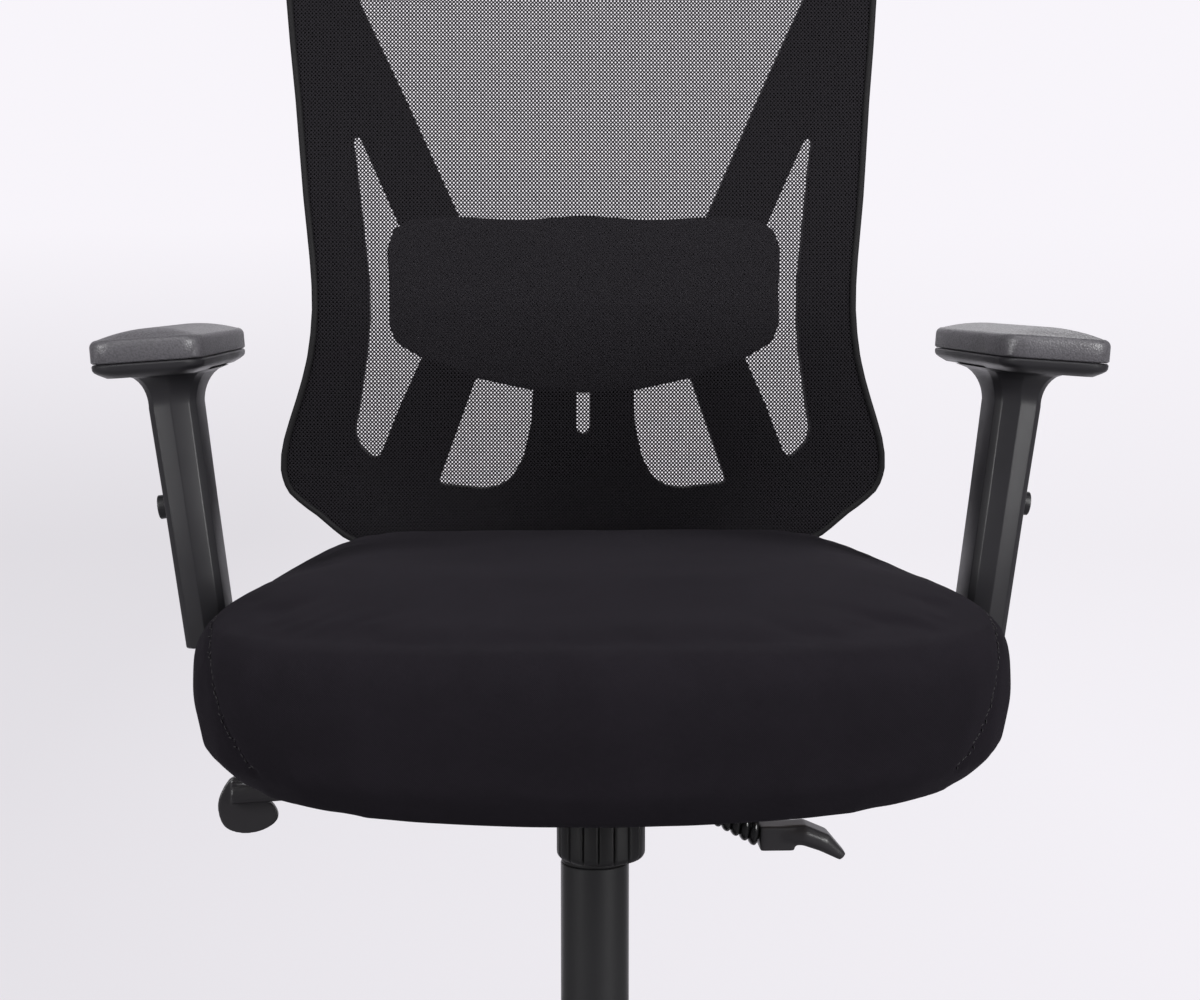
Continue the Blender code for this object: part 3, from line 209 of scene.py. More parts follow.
# Camera of the front view, from the gas lift's axis
CAMERA_PLACE = (-0.058, -1.470, 0.700)
CAMERA_LENS = 64.26
CAMERA_PITCH = math.radians(84.35)
CAMERA_YAW = math.radians(-2.4)

RECORD = frame["record"]
BODY_OF = {node: body for body, nodes in RECORD["behaviour"]["bodies"].items() for node in nodes}


# ---------------------------------------------------------------- pieces and meshes

def middle_of(node):
    low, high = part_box(node)
    return (low + high) / 2


COLUMN = Vector((0.0, middle_of("lift_cylinder").y, 0.0))


def cad_mesh(node):
    """The CAD node's surface as a bmesh, its triangles joined up."""
    bm = bmesh.new()
    bm.from_mesh(frame["nodes"][node].data)
    bmesh.ops.remove_doubles(bm, verts=bm.verts, dist=JOIN_WITHIN)
    bmesh.ops.recalc_face_normals(bm, faces=bm.faces)
    return bm


def tree_of(node):
    """A search tree over the CAD node's surface."""
    bm = cad_mesh(node)
    found = BVHTree.FromBMesh(bm)
    bm.free()
    return found


def new_piece(name, bm, material, sharp=35.0):
    mesh = bpy.data.meshes.new(name)
    bm.to_mesh(mesh)
    bm.free()
    return shaded(bpy.data.objects.new(name, mesh), material, sharp)


def shaded(obj, material, sharp=35.0):
    if obj.name not in bpy.context.scene.collection.objects:
        bpy.context.scene.collection.objects.link(obj)
    obj.data.materials.clear()
    obj.data.materials.append(material)
    obj.data.shade_smooth()
    obj.data.set_sharp_from_angle(angle=math.radians(sharp))
    return obj


def settle(obj):
    """Turns the object's modifiers into its mesh."""
    graph = bpy.context.evaluated_depsgraph_get()
    mesh = bpy.data.meshes.new_from_object(obj.evaluated_get(graph))
    obj.modifiers.clear()
    obj.data = mesh
    return obj


def stand_for(piece, slot, *nodes):
    """The piece moves with, and is shown instead of, these CAD nodes."""
    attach(piece, BODY_OF[nodes[0]])
    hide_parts(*nodes)
    return piece


def bevelled(obj, width, segments=2, angle=30.0):
    bevel = obj.modifiers.new("Bevel", "BEVEL")
    bevel.width = width
    bevel.segments = segments
    bevel.limit_method = "ANGLE"
    bevel.angle_limit = math.radians(angle)
    bevel.use_clamp_overlap = True
    return settle(obj)


def dressed(node, material, slot, width=0.0006, segments=2):
    """A hard part: the CAD node's own shape with its edges broken."""
    bm = cad_mesh(node)
    bmesh.ops.dissolve_limit(bm, angle_limit=math.radians(0.5), verts=bm.verts, edges=bm.edges)
    piece = bevelled(new_piece(node + "_part", bm, material), width, segments)
    return stand_for(shaded(piece, material), slot, node)


def remeshed(obj, voxel, smoothing):
    """An even skin of this fineness over the object, with its edges rounded by smoothing."""
    remesh = obj.modifiers.new("Remesh", "REMESH")
    remesh.mode = "VOXEL"
    remesh.voxel_size = voxel
    smooth = obj.modifiers.new("Smooth", "SMOOTH")
    smooth.factor = 0.5
    smooth.iterations = smoothing
    return settle(obj)


def moulded_part(node, material, slot, voxel, smoothing=4):
    """A moulded part: the CAD node's shape with flowing surfaces and rounded edges."""
    piece = remeshed(new_piece(node + "_part", cad_mesh(node), material), voxel, smoothing)
    return stand_for(shaded(piece, material, sharp=60.0), slot, node)


def lofted(rings):
    """A closed skin through rings of equal length, each a list of points, capped at its ends."""
    bm = bmesh.new()
    rows = [[bm.verts.new(p) for p in ring] for ring in rings]
    count = len(rows[0])
    for lower, upper in zip(rows, rows[1:]):
        for i in range(count):
            j = (i + 1) % count
            bm.faces.new((lower[i], lower[j], upper[j], upper[i]))
    bm.faces.new(rows[0][::-1])
    bm.faces.new(rows[-1])
    bmesh.ops.recalc_face_normals(bm, faces=bm.faces)
    return bm


def revolved(profile, sides, reach=None):
    """A skin turned about Z from (radius, height) points that start and end on the axis.

    reach(angle, radius, height) may change a point's radius, as for grooves.
    """
    bm = bmesh.new()
    rows = []
    for radius, height in profile:
        if radius == 0.0:
            rows.append([bm.verts.new((0.0, 0.0, height))])
            continue
        row = []
        for i in range(sides):
            angle = 2 * math.pi * i / sides
            r = reach(angle, radius, height) if reach else radius
            row.append(bm.verts.new((r * math.cos(angle), r * math.sin(angle), height)))
        rows.append(row)
    for first, second in zip(rows, rows[1:]):
        for i in range(sides):
            j = (i + 1) % sides
            corners = [row[k % len(row)] for row, k in ((first, i), (first, j), (second, j), (second, i))]
            bm.faces.new(list(dict.fromkeys(corners)))
    bmesh.ops.recalc_face_normals(bm, faces=bm.faces)
    return bm


def moved(bm, matrix):
    bmesh.ops.transform(bm, matrix=matrix, verts=bm.verts)
    return bm


def swept_loop(points, radius, sides):
    """A round tube along a closed loop of points."""
    bm = bmesh.new()
    count = len(points)
    rows = []
    for i, point in enumerate(points):
        along = (points[(i + 1) % count] - points[i - 1]).normalized()
        across = along.cross(Vector((0, 1, 0))).normalized()
        rise = across.cross(along)
        row = []
        for k in range(sides):
            angle = 2 * math.pi * k / sides
            row.append(bm.verts.new(point + radius * (math.cos(angle) * across + math.sin(angle) * rise)))
        rows.append(row)
    for first, second in zip(rows, rows[1:] + rows[:1]):
        for k in range(sides):
            n = (k + 1) % sides
            bm.faces.new((first[k], first[n], second[n], second[k]))
    bmesh.ops.recalc_face_normals(bm, faces=bm.faces)
    return bm


def smooth_line(points, steps):
    """Catmull-Rom points through the given ones, steps to a stretch."""
    last = len(points) - 1
    found = []
    for i in range(last):
        a, b, c, d = (Vector(points[min(max(i + k, 0), last)]) for k in (-1, 0, 1, 2))
        found += interpolate_bezier(b, b + (c - a) / 6, c - (d - b) / 6, c, steps + 1)[:-1]
    return found + [Vector(points[-1])]


def evenly_spaced(points, pitch):
    """Points along the line, this far apart."""
    lengths = np.array([0.0] + [(b - a).length for a, b in zip(points, points[1:])]).cumsum()
    places = np.arange(0.0, lengths[-1], pitch)
    columns = [np.interp(places, lengths, [p[axis] for p in points]) for axis in range(3)]
    return [Vector(p) for p in zip(*columns)]


def rounded_rectangle(half_x, half_y, radius, corner_steps=6, side_steps=5):
    """Points round a rectangle with round corners, as many for every size."""
    radius = min(radius, half_x * 0.98, half_y * 0.98)
    corners = []
    for quarter, (sx, sy) in enumerate(((1, 1), (-1, 1), (-1, -1), (1, -1))):
        centre = Vector((sx * (half_x - radius), sy * (half_y - radius)))
        turns = [math.pi / 2 * (quarter + step / corner_steps) for step in range(corner_steps + 1)]
        corners.append([centre + radius * Vector((math.cos(a), math.sin(a))) for a in turns])
    points = []
    for corner, following in zip(corners, corners[1:] + corners[:1]):
        points += corner
        points += [corner[-1].lerp(following[0], step / side_steps) for step in range(1, side_steps)]
    return points


# ---------------------------------------------------------------- materials

def add_node(tree, kind, inputs=None, **settings):
    """A shader node; an input takes a number, a colour or another node's output."""
    made = tree.nodes.new(kind)
    for key, value in settings.items():
        setattr(made, key, value)
    for key, value in (inputs or {}).items():
        if isinstance(value, bpy.types.NodeSocket):
            tree.links.new(value, made.inputs[key])
        else:
            made.inputs[key].default_value = value
    return made


def maths(tree, operation, a, b=0.0):
    return add_node(tree, "ShaderNodeMath", {0: a, 1: b}, operation=operation).outputs[0]


def ramp(tree, value, low, high, to_low=0.0, to_high=1.0):
    inputs = {"Value": value, "From Min": low, "From Max": high, "To Min": to_low, "To Max": to_high}
    return add_node(tree, "ShaderNodeMapRange", inputs).outputs[0]


def noise(tree, place, size, detail=2.0, roughness=0.5):
    """Noise whose features are about this size, in metres."""
    inputs = {"Vector": place, "Scale": 1.0 / size, "Detail": detail, "Roughness": roughness}
    return add_node(tree, "ShaderNodeTexNoise", inputs).outputs["Fac"]


def mixed(tree, share, first, second):
    made = add_node(tree, "ShaderNodeMix", data_type="RGBA")
    for index, value in ((0, share), (6, first), (7, second)):
        if isinstance(value, bpy.types.NodeSocket):
            tree.links.new(value, made.inputs[index])
        else:
            made.inputs[index].default_value = value
    return made.outputs[2]


def shade_of(colour, factor):
    return (*(min(channel * factor, 1.0) for channel in colour), 1.0)


def new_material(name, roughness, metallic=0.0, **sockets):
    """A Principled material, with its tree, its shader and the object's own coordinates."""
    made = bpy.data.materials.new(name)
    made.use_nodes = True
    tree = made.node_tree
    shader = tree.nodes["Principled BSDF"]
    shader.inputs["Roughness"].default_value = roughness
    shader.inputs["Metallic"].default_value = metallic
    for key, value in sockets.items():
        shader.inputs[key.replace("_", " ")].default_value = value
    place = add_node(tree, "ShaderNodeTexCoord").outputs["Object"]
    return made, tree, shader, place


def bumped(tree, shader, height, depth):
    """Relief of this depth in metres where height goes from 0 to 1."""
    bump = add_node(tree, "ShaderNodeBump", {"Height": height, "Distance": depth, "Strength": 1.0})
    tree.links.new(bump.outputs["Normal"], shader.inputs["Normal"])


def moulding(name, colour, roughness, grain=0.0009, depth=0.00003, mottle=0.18, **sockets):
    """Moulded plastic: a fine spark-eroded grain, faint flow marks and uneven gloss."""
    made, tree, shader, place = new_material(name, roughness, **sockets)
    broad = noise(tree, place, 0.060, 3.0)
    fine = noise(tree, place, grain, 3.0, 0.6)
    tint = mixed(tree, broad, shade_of(colour, 1 - mottle), shade_of(colour, 1 + mottle))
    tree.links.new(tint, shader.inputs["Base Color"])
    gloss = maths(tree, "ADD", ramp(tree, broad, 0.3, 0.7, roughness - 0.05, roughness + 0.03),
                  ramp(tree, fine, 0.3, 0.7, -0.03, 0.04))
    tree.links.new(gloss, shader.inputs["Roughness"])
    bumped(tree, shader, fine, depth)
    return made


def pebbled(name, colour, roughness, cell, depth):
    """Foamed polyurethane skin with a leather-like pebble."""
    made, tree, shader, place = new_material(name, roughness)
    cells = add_node(tree, "ShaderNodeTexVoronoi", {"Vector": place, "Scale": 1.0 / cell, "Smoothness": 0.35},
                     feature="SMOOTH_F1").outputs["Distance"]
    pebble_relief_and_shade = ramp(tree, cells, 0.1, 0.75, 1.0, 0.0)
    broad = noise(tree, place, 0.035, 4.0)
    tint = mixed(tree, broad, shade_of(colour, 0.82), shade_of(colour, 1.2))
    # Painted shade: the dips between the pebbles are painted darker
    tint = mixed(tree, ramp(tree, pebble_relief_and_shade, 0.0, 0.5, 0.45, 0.0), tint, shade_of(colour, 0.35))
    tree.links.new(tint, shader.inputs["Base Color"])
    tree.links.new(ramp(tree, pebble_relief_and_shade, 0.0, 1.0, roughness + 0.12, roughness - 0.04), shader.inputs["Roughness"])
    bumped(tree, shader, pebble_relief_and_shade, depth)
    return made


def upholstery(name, colour, pitch=0.0011, depth=0.00016):
    """A dense plain weave, laid on each face of the cushion along its own directions."""
    made, tree, shader, place = new_material(
        name, 0.93, Sheen_Weight=0.02, Sheen_Roughness=0.5, Sheen_Tint=(0.9, 0.82, 1.0, 1.0),
        Specular_IOR_Level=0.06)
    x, y, z = add_node(tree, "ShaderNodeSeparateXYZ", {"Vector": place}).outputs
    facing = add_node(tree, "ShaderNodeNewGeometry").outputs["Normal"]
    weights = add_node(tree, "ShaderNodeSeparateXYZ", {"Vector": facing}).outputs
    turn = 2 * math.pi / pitch

    def weave(a, b):
        over = maths(tree, "SINE", maths(tree, "MULTIPLY", a, turn))
        under = maths(tree, "SINE", maths(tree, "MULTIPLY", b, turn))
        return maths(tree, "MULTIPLY", over, under)

    total = None
    for weight, pattern in zip(weights, (weave(y, z), weave(x, z), weave(x, y))):
        share = maths(tree, "MULTIPLY", maths(tree, "MULTIPLY", weight, weight), pattern)
        total = share if total is None else maths(tree, "ADD", total, share)
    thread_relief_and_shade = ramp(tree, total, -1.0, 1.0)
    fibres = noise(tree, place, 0.0004, 3.0, 0.7)
    broad = noise(tree, place, 0.045, 4.0, 0.6)
    # Painted shade and light: the weave's dips are painted darker and its crests lighter
    tint = mixed(tree, thread_relief_and_shade, shade_of(colour, 0.55), shade_of(colour, 1.45))
    tint = mixed(tree, ramp(tree, fibres, 0.45, 0.75, 0.0, 0.35), tint, shade_of(colour, 2.6))
    tint = mixed(tree, ramp(tree, broad, 0.35, 0.7, 0.0, 0.35), tint, shade_of(colour, 0.6))
    tree.links.new(tint, shader.inputs["Base Color"])
    height = maths(tree, "ADD", thread_relief_and_shade, maths(tree, "MULTIPLY", fibres, 0.5))
    bumped(tree, shader, height, depth)
    return made


def open_mesh(name, colour):
    """Knitted mesh: rows of small oval holes, each second row set half a hole aside."""
    made, tree, shader, place = new_material(
        name, 0.80, Sheen_Weight=0.02, Sheen_Roughness=0.5, Specular_IOR_Level=0.12)
    x, _, z = add_node(tree, "ShaderNodeSeparateXYZ", {"Vector": place}).outputs
    across = maths(tree, "COSINE", maths(tree, "MULTIPLY", x, 2 * math.pi / WEAVE_X))
    up = maths(tree, "COSINE", maths(tree, "MULTIPLY", z, 2 * math.pi / WEAVE_Z))
    lattice = maths(tree, "MULTIPLY", across, up)
    uneven = maths(tree, "MULTIPLY", maths(tree, "ADD", across, up), 0.13)
    wander = ramp(tree, noise(tree, place, 0.004, 2.0), 0.2, 0.8, -0.05, 0.05)
    opening = maths(tree, "ADD", maths(tree, "ADD", lattice, uneven), wander)
    solid = ramp(tree, opening, 0.29, 0.34, 1.0, 0.0)
    tree.links.new(solid, shader.inputs["Alpha"])
    thread_relief_and_shade = ramp(tree, opening, -0.9, 0.25, 1.0, 0.0)
    fibres = noise(tree, place, 0.0005, 2.0, 0.7)
    # Painted shade and light: each thread is painted darker where it rounds down to a hole and lighter along its
    # middle
    tint = mixed(tree, thread_relief_and_shade, shade_of(colour, 0.6), shade_of(colour, 1.25))
    tint = mixed(tree, ramp(tree, fibres, 0.4, 0.8, 0.0, 0.4), tint, shade_of(colour, 1.9))
    tree.links.new(tint, shader.inputs["Base Color"])
    bumped(tree, shader, maths(tree, "ADD", thread_relief_and_shade, maths(tree, "MULTIPLY", fibres, 0.3)), 0.0003)
    return made


def painted(name, colour, roughness=0.38):
    """Powder-coated steel: an orange-peel skin with small pits."""
    made, tree, shader, place = new_material(name, roughness, Coat_Weight=0.15, Coat_Roughness=0.25)
    peel = noise(tree, place, 0.0022, 2.0)
    pits = noise(tree, place, 0.0005, 2.0, 0.7)
    broad = noise(tree, place, 0.050, 3.0)
    tint = mixed(tree, broad, shade_of(colour, 0.8), shade_of(colour, 1.25))
    tree.links.new(tint, shader.inputs["Base Color"])
    tree.links.new(ramp(tree, pits, 0.3, 0.7, roughness - 0.06, roughness + 0.08), shader.inputs["Roughness"])
    bumped(tree, shader, maths(tree, "ADD", peel, maths(tree, "MULTIPLY", pits, 0.2)), 0.00006)
    return made


def bright_metal(name, colour, roughness, brush=0.0004):
    """Plated or ground steel with fine scratches round it and dull stains."""
    made, tree, shader, place = new_material(name, roughness, 1.0)
    stretched = add_node(tree, "ShaderNodeMapping", {"Vector": place, "Scale": (0.08, 0.08, 1.0)}).outputs[0]
    scratches = noise(tree, stretched, brush, 3.0, 0.7)
    stains = noise(tree, place, 0.015, 4.0)
    tint = mixed(tree, stains, shade_of(colour, 0.82), shade_of(colour, 1.1))
    tree.links.new(tint, shader.inputs["Base Color"])
    gloss = ramp(tree, scratches, 0.3, 0.7, roughness * 0.7, roughness * 1.5)
    tree.links.new(gloss, shader.inputs["Roughness"])
    bumped(tree, shader, scratches, 0.000008)
    return made


def plywood(name, colour):
    """Birch plywood: long grain on its faces and plies along its edges."""
    made, tree, shader, place = new_material(name, 0.62)
    grain_place = add_node(tree, "ShaderNodeMapping", {"Vector": place, "Scale": (1.0, 0.06, 1.0)}).outputs[0]
    grain = noise(tree, grain_place, 0.003, 5.0, 0.6)
    height = add_node(tree, "ShaderNodeSeparateXYZ", {"Vector": place}).outputs[2]
    plies = ramp(tree, maths(tree, "SINE", maths(tree, "MULTIPLY", height, 2 * math.pi / 0.0030)), -0.2, 0.2)
    tint = mixed(tree, grain, shade_of(colour, 0.7), shade_of(colour, 1.15))
    tint = mixed(tree, maths(tree, "MULTIPLY", plies, 0.35), tint, shade_of(colour, 0.5))
    tree.links.new(tint, shader.inputs["Base Color"])
    bumped(tree, shader, grain, 0.00008)
    return made


def backdrop_finish(name, colour, glow):
    """A pale studio sweep that lights itself, its floor's glow painted a little darker towards -X: a painted shade
    of light falling off.
    """
    made, tree, shader, place = new_material(name, 0.95, Specular_IOR_Level=0.0)
    x, _, z = add_node(tree, "ShaderNodeSeparateXYZ", {"Vector": place}).outputs
    floor = ramp(tree, z, 0.0, 0.9, 1.0, 0.0)
    # Painted shade: the floor's glow darkens towards -X, as if the light fell off away from the +X side
    painted_falloff = maths(tree, "MULTIPLY", floor, ramp(tree, x, -0.8, 0.8, 1.0, 0.3))
    tint = mixed(tree, painted_falloff, shade_of(glow, 1.0), shade_of(glow, 0.80))
    tree.links.new(tint, shader.inputs["Emission Color"])
    shader.inputs["Base Color"].default_value = shade_of(colour, 1.0)
    shader.inputs["Emission Strength"].default_value = 1.0
    return made


FABRIC = upholstery("seat_fabric_finish", (0.0092, 0.0078, 0.0104))
THREAD = moulding("seam_thread", (0.014, 0.0125, 0.015), 0.80, grain=0.0005, depth=0.00005)
MESH_KNIT = open_mesh("back_mesh_finish", (0.0100, 0.0088, 0.0112))
BINDING = moulding("mesh_edge_finish", (0.007, 0.0065, 0.0075), 0.75, grain=0.0012, Specular_IOR_Level=0.25)
NYLON = moulding("black_nylon_finish", (0.0060, 0.0057, 0.0064), 0.48)
FRAME = moulding("back_frame_finish", (0.0050, 0.0048, 0.0054), 0.60, Specular_IOR_Level=0.12)
LEVER = moulding("lever_nylon_finish", (0.0240, 0.0225, 0.0250), 0.42, grain=0.0007)
LUMBAR = moulding("lumbar_finish", (0.0260, 0.0240, 0.0290), 0.60, grain=0.0014, depth=0.00006,
                  Specular_IOR_Level=0.35)
ARM_PLASTIC = moulding("arm_plastic_finish", (0.0165, 0.0158, 0.0182), 0.40, grain=0.0007, depth=0.00004)
PAD_SKIN = pebbled("pad_pu_finish", (0.0900, 0.0860, 0.0950), 0.36, cell=0.0012, depth=0.00010)
STEEL_PAINT = painted("painted_steel_finish", (0.014, 0.014, 0.015))
ZINC = bright_metal("zinc_finish", (0.52, 0.52, 0.54), 0.32)
CHROME = bright_metal("piston_finish", (0.66, 0.66, 0.68), 0.12, brush=0.0003)
BOARD = plywood("plywood_finish", (0.46, 0.32, 0.19))
RUBBER = moulding("boot_rubber_finish", (0.0085, 0.0085, 0.0090), 0.24, grain=0.0010, depth=0.00002)
TREAD = moulding("caster_nylon_finish", (0.0150, 0.0150, 0.0160), 0.42)
BACKDROP = backdrop_finish("backdrop_finish", (0.06, 0.06, 0.065), (0.915, 0.890, 0.935))


# ---------------------------------------------------------------- seat

def projected(tree, points):
    """The nearest places to the points on the surface in the tree."""
    return [tree.find_nearest(p)[0] for p in points]


def seam_line(surface):
    """The seam on the cushion's skin, from one front corner round the rear to the other."""
    half = [COLUMN + Vector(p) for p in SEAM_HALF]
    whole = half + [Vector((-p.x, p.y, p.z)) for p in half[-2::-1]]
    return projected(surface, evenly_spaced(smooth_line(whole, SEAM_STEPS), SEAM_PITCH))


def swollen(obj):
    """Lets the cushion's skin swell under pressure: no point goes inwards, or further than the cap."""
    mesh = obj.data
    rest = np.array([v.co for v in mesh.vertices])
    normals = np.array([v.normal for v in mesh.vertices])
    pinned = obj.vertex_groups.new(name="pinned")
    for i, (_, _, z) in enumerate(rest):
        weight = 1.0 - min(max((z - PINNED_BELOW) / (FREE_ABOVE - PINNED_BELOW), 0.0), 1.0)
        if weight > 0.0:
            pinned.add([i], weight, "REPLACE")
    cloth = obj.modifiers.new("Cloth", "CLOTH")
    cloth.settings.use_pressure = True
    cloth.settings.uniform_pressure_force = CUSHION_PRESSURE
    cloth.settings.effector_weights.gravity = 0.0
    cloth.settings.vertex_group_mass = "pinned"
    cloth.point_cache.frame_start, cloth.point_cache.frame_end = 1, CUSHION_FRAMES
    for step in range(1, CUSHION_FRAMES + 1):
        bpy.context.scene.frame_set(step)
    graph = bpy.context.evaluated_depsgraph_get()
    swollen_mesh = obj.evaluated_get(graph).to_mesh()
    moves = np.array([v.co for v in swollen_mesh.vertices]) - rest
    obj.evaluated_get(graph).to_mesh_clear()
    obj.modifiers.clear()
    obj.vertex_groups.clear()
    bpy.context.scene.frame_set(1)
    inward = np.minimum((moves * normals).sum(axis=1), 0.0)
    moves -= inward[:, None] * normals
    lengths = np.linalg.norm(moves, axis=1)
    capped = CUSHION_CAP * np.tanh(lengths / CUSHION_CAP)
    moves *= (capped / np.maximum(lengths, 1e-9))[:, None]
    mesh.vertices.foreach_set("co", (rest + moves).astype(np.float32).ravel())
    mesh.update()
    return obj


def pulled_in_along(obj, line):
    """Presses a narrow groove and a soft hollow into the skin along the line."""
    mesh = obj.data
    count = len(mesh.vertices)
    points = np.empty(count * 3)
    normals = np.empty(count * 3)
    mesh.vertices.foreach_get("co", points)
    mesh.vertices.foreach_get("normal", normals)
    points, normals = points.reshape(-1, 3), normals.reshape(-1, 3)
    tree = KDTree(len(line))
    for i, p in enumerate(line):
        tree.insert(p, i)
    tree.balance()
    away = np.array([tree.find(p)[2] for p in points])
    depth = SEAM_DEPTH * np.exp(-(away / SEAM_WIDTH) ** 2)
    depth += SEAM_PULL * np.exp(-(away / SEAM_PULL_WIDTH) ** 2)
    mesh.vertices.foreach_set("co", (points - normals * depth[:, None]).astype(np.float32).ravel())
    mesh.update()


def make_stitches(surface, line):
    """A row of thread ends sunk into the seam."""
    bm = bmesh.new()
    for start, end in zip(evenly_spaced(line, STITCH_PITCH), evenly_spaced(line[1:], STITCH_PITCH)):
        along = (end - start).normalized()
        place, normal, _, _ = surface.find_nearest(start)
        turn = along.to_track_quat("Z", "Y").to_matrix().to_4x4()
        shape = Matrix.Diagonal((STITCH_RADIUS, STITCH_RADIUS, STITCH_LENGTH / 2, 1.0))
        sunk = place + normal * STITCH_RADIUS * 0.5
        bmesh.ops.create_uvsphere(bm, u_segments=8, v_segments=6, radius=1.0,
                                  matrix=Matrix.Translation(sunk) @ turn @ shape)
    return new_piece("cushion_stitches", bm, THREAD, sharp=80.0)


def make_cushion():
    """The foam block's cover: an even skin, swollen by pressure, drawn in along its stitched seam."""
    bm = cad_mesh("seat_cushion")
    for vert in bm.verts:
        if vert.co.z > PINNED_BELOW:
            vert.co -= vert.normal * CUSHION_SHRINK
    cushion = remeshed(new_piece("seat_cushion_cover", bm, FABRIC), CUSHION_VOXEL, smoothing=3)
    swollen(cushion)
    subdivision = cushion.modifiers.new("Subdivision", "SUBSURF")
    subdivision.levels = 1
    settle(cushion)
    surface = BVHTree.FromObject(cushion, bpy.context.evaluated_depsgraph_get())
    line = seam_line(surface)
    pulled_in_along(cushion, line)
    shaded(cushion, FABRIC, sharp=70.0)
    stand_for(cushion, "seat_fabric", "seat_cushion")
    bpy.context.view_layer.update()
    surface = BVHTree.FromObject(cushion, bpy.context.evaluated_depsgraph_get())
    stitches = make_stitches(surface, projected(surface, line))
    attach(stitches, BODY_OF["seat_cushion"])


# ---------------------------------------------------------------- armrests

def pad_frame(side, word):
    """The arm pad's own frame: X across it, Y along it, its underside at Z = 0."""
    low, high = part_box(f"arm_pad_{word}")
    place = Vector(((low.x + high.x) / 2, (low.y + high.y) / 2, low.z + PAD_HALF_X * math.sin(PAD_TILT)))
    return Matrix.Translation(place) @ Matrix.Rotation(side * PAD_TILT, 4, "Y")


def arm_frame(side, word):
    """The post's own frame: Z up the leaning post, its origin level with the button."""
    axis = next(j["axis"] for j in frame["joints"] if j["name"] == f"arm_{word}_height")
    lean = Matrix.Rotation(math.atan2(axis[0], axis[2]), 4, "Y")
    button = Matrix.Translation(middle_of(f"arm_button_{word}"))
    return button @ lean @ Matrix.Translation((-side * BUTTON_OUT, 0, 0))


def pad_levels():
    """(inset, height) up the pad's side, over its round edge and across its crowned top."""
    levels = [(0.0010, 0.0002), (0.0, 0.0012)]
    shoulder = PAD_HEIGHT - PAD_CROWN - PAD_EDGE
    for step in range(PAD_EDGE_STEPS + 1):
        angle = math.pi / 2 * step / PAD_EDGE_STEPS
        levels.append((PAD_EDGE * (1 - math.cos(angle)) * 0.9, shoulder + PAD_EDGE * math.sin(angle)))
    start = levels[-1][0]
    for step in range(1, PAD_CROWN_STEPS + 1):
        along = step / PAD_CROWN_STEPS * PAD_CROWN_REACH
        crown = PAD_CROWN * (1 - (1 - along) ** 2)
        levels.append((start + (PAD_HALF_X - start) * along, PAD_HEIGHT - PAD_CROWN + crown))
    return levels


def pad_rings(place, levels):
    """The pad's outline drawn in by each level's inset, at its height."""
    rings = []
    for inset, height in levels:
        corner = PAD_CORNER * (1 - inset / PAD_HALF_X)
        plan = rounded_rectangle(PAD_HALF_X - inset, PAD_HALF_Y - inset, corner)
        rings.append([place @ Vector((p.x, p.y, height)) for p in plan])
    return rings


def make_pad(side, word):
    bm = lofted(pad_rings(pad_frame(side, word), pad_levels()))
    pad = new_piece(f"arm_pad_{word}_skin", bm, PAD_SKIN, sharp=50.0)
    stand_for(pad, "pad_pu", f"arm_pad_{word}")


def make_pad_base(side, word):
    """The plate under the pad, with a chamfered underside."""
    bm = lofted(pad_rings(pad_frame(side, word), PLATE_LEVELS))
    base = new_piece(f"arm_pad_base_{word}_plate", bm, ARM_PLASTIC, sharp=30.0)
    stand_for(base, "arm_plastic", f"arm_pad_base_{word}")


def tube_section(half_x, half_y, ridge, corner):
    """Ten points round a tube: a ridge this high up its front and its rear, and sloping corners (X, Y)."""
    shoulder = half_y - ridge
    quarter = ((0.0, -half_y), (half_x - corner[0], -shoulder), (half_x, corner[1] - shoulder))
    right = [Vector(p) for p in quarter] + [Vector((x, -y)) for x, y in quarter[::-1]]
    return right + [Vector((-p.x, p.y)) for p in right[-2:0:-1]]


def sleeve_section(half_x, half_y):
    return tube_section(half_x, half_y, SLEEVE_RIDGE, SLEEVE_CORNER)


def flare_rings(post, pad):
    """Rings from the sleeve's neck out to the plate under the pad, on a quarter circle."""
    offset = Vector((0.0, post.translation.y - pad.translation.y, -PAD_BASE_HEIGHT - FLARE_GAP))
    lows = [post @ Vector((*p, SLEEVE_NECK)) for p in sleeve_section(*NECK_HALF)]
    highs = [pad @ (offset + Vector((*p, 0.0))) for p in sleeve_section(*FLARE_HALF)]
    rings = []
    for step in range(1, FLARE_STEPS + 1):
        rise = step / FLARE_STEPS
        spread = 1 - math.sqrt(1 - rise ** 2 * FLARE_END)
        rings.append([Vector((low.x + (high.x - low.x) * spread, low.y + (high.y - low.y) * spread,
                              low.z + (high.z - low.z) * rise)) for low, high in zip(lows, highs)])
    return rings


def cut_from(obj, bm):
    """Cuts this shape out of the object."""
    cutter = new_piece("cutter", bm, obj.data.materials[0])
    cutting = obj.modifiers.new("Cut", "BOOLEAN")
    cutting.object = cutter
    settle(obj)
    bpy.data.objects.remove(cutter)


def disc(radius, thickness):
    half = thickness / 2
    return revolved(((0.0, half), (radius, half), (radius, -half), (0.0, -half)), BUTTON_SIDES)


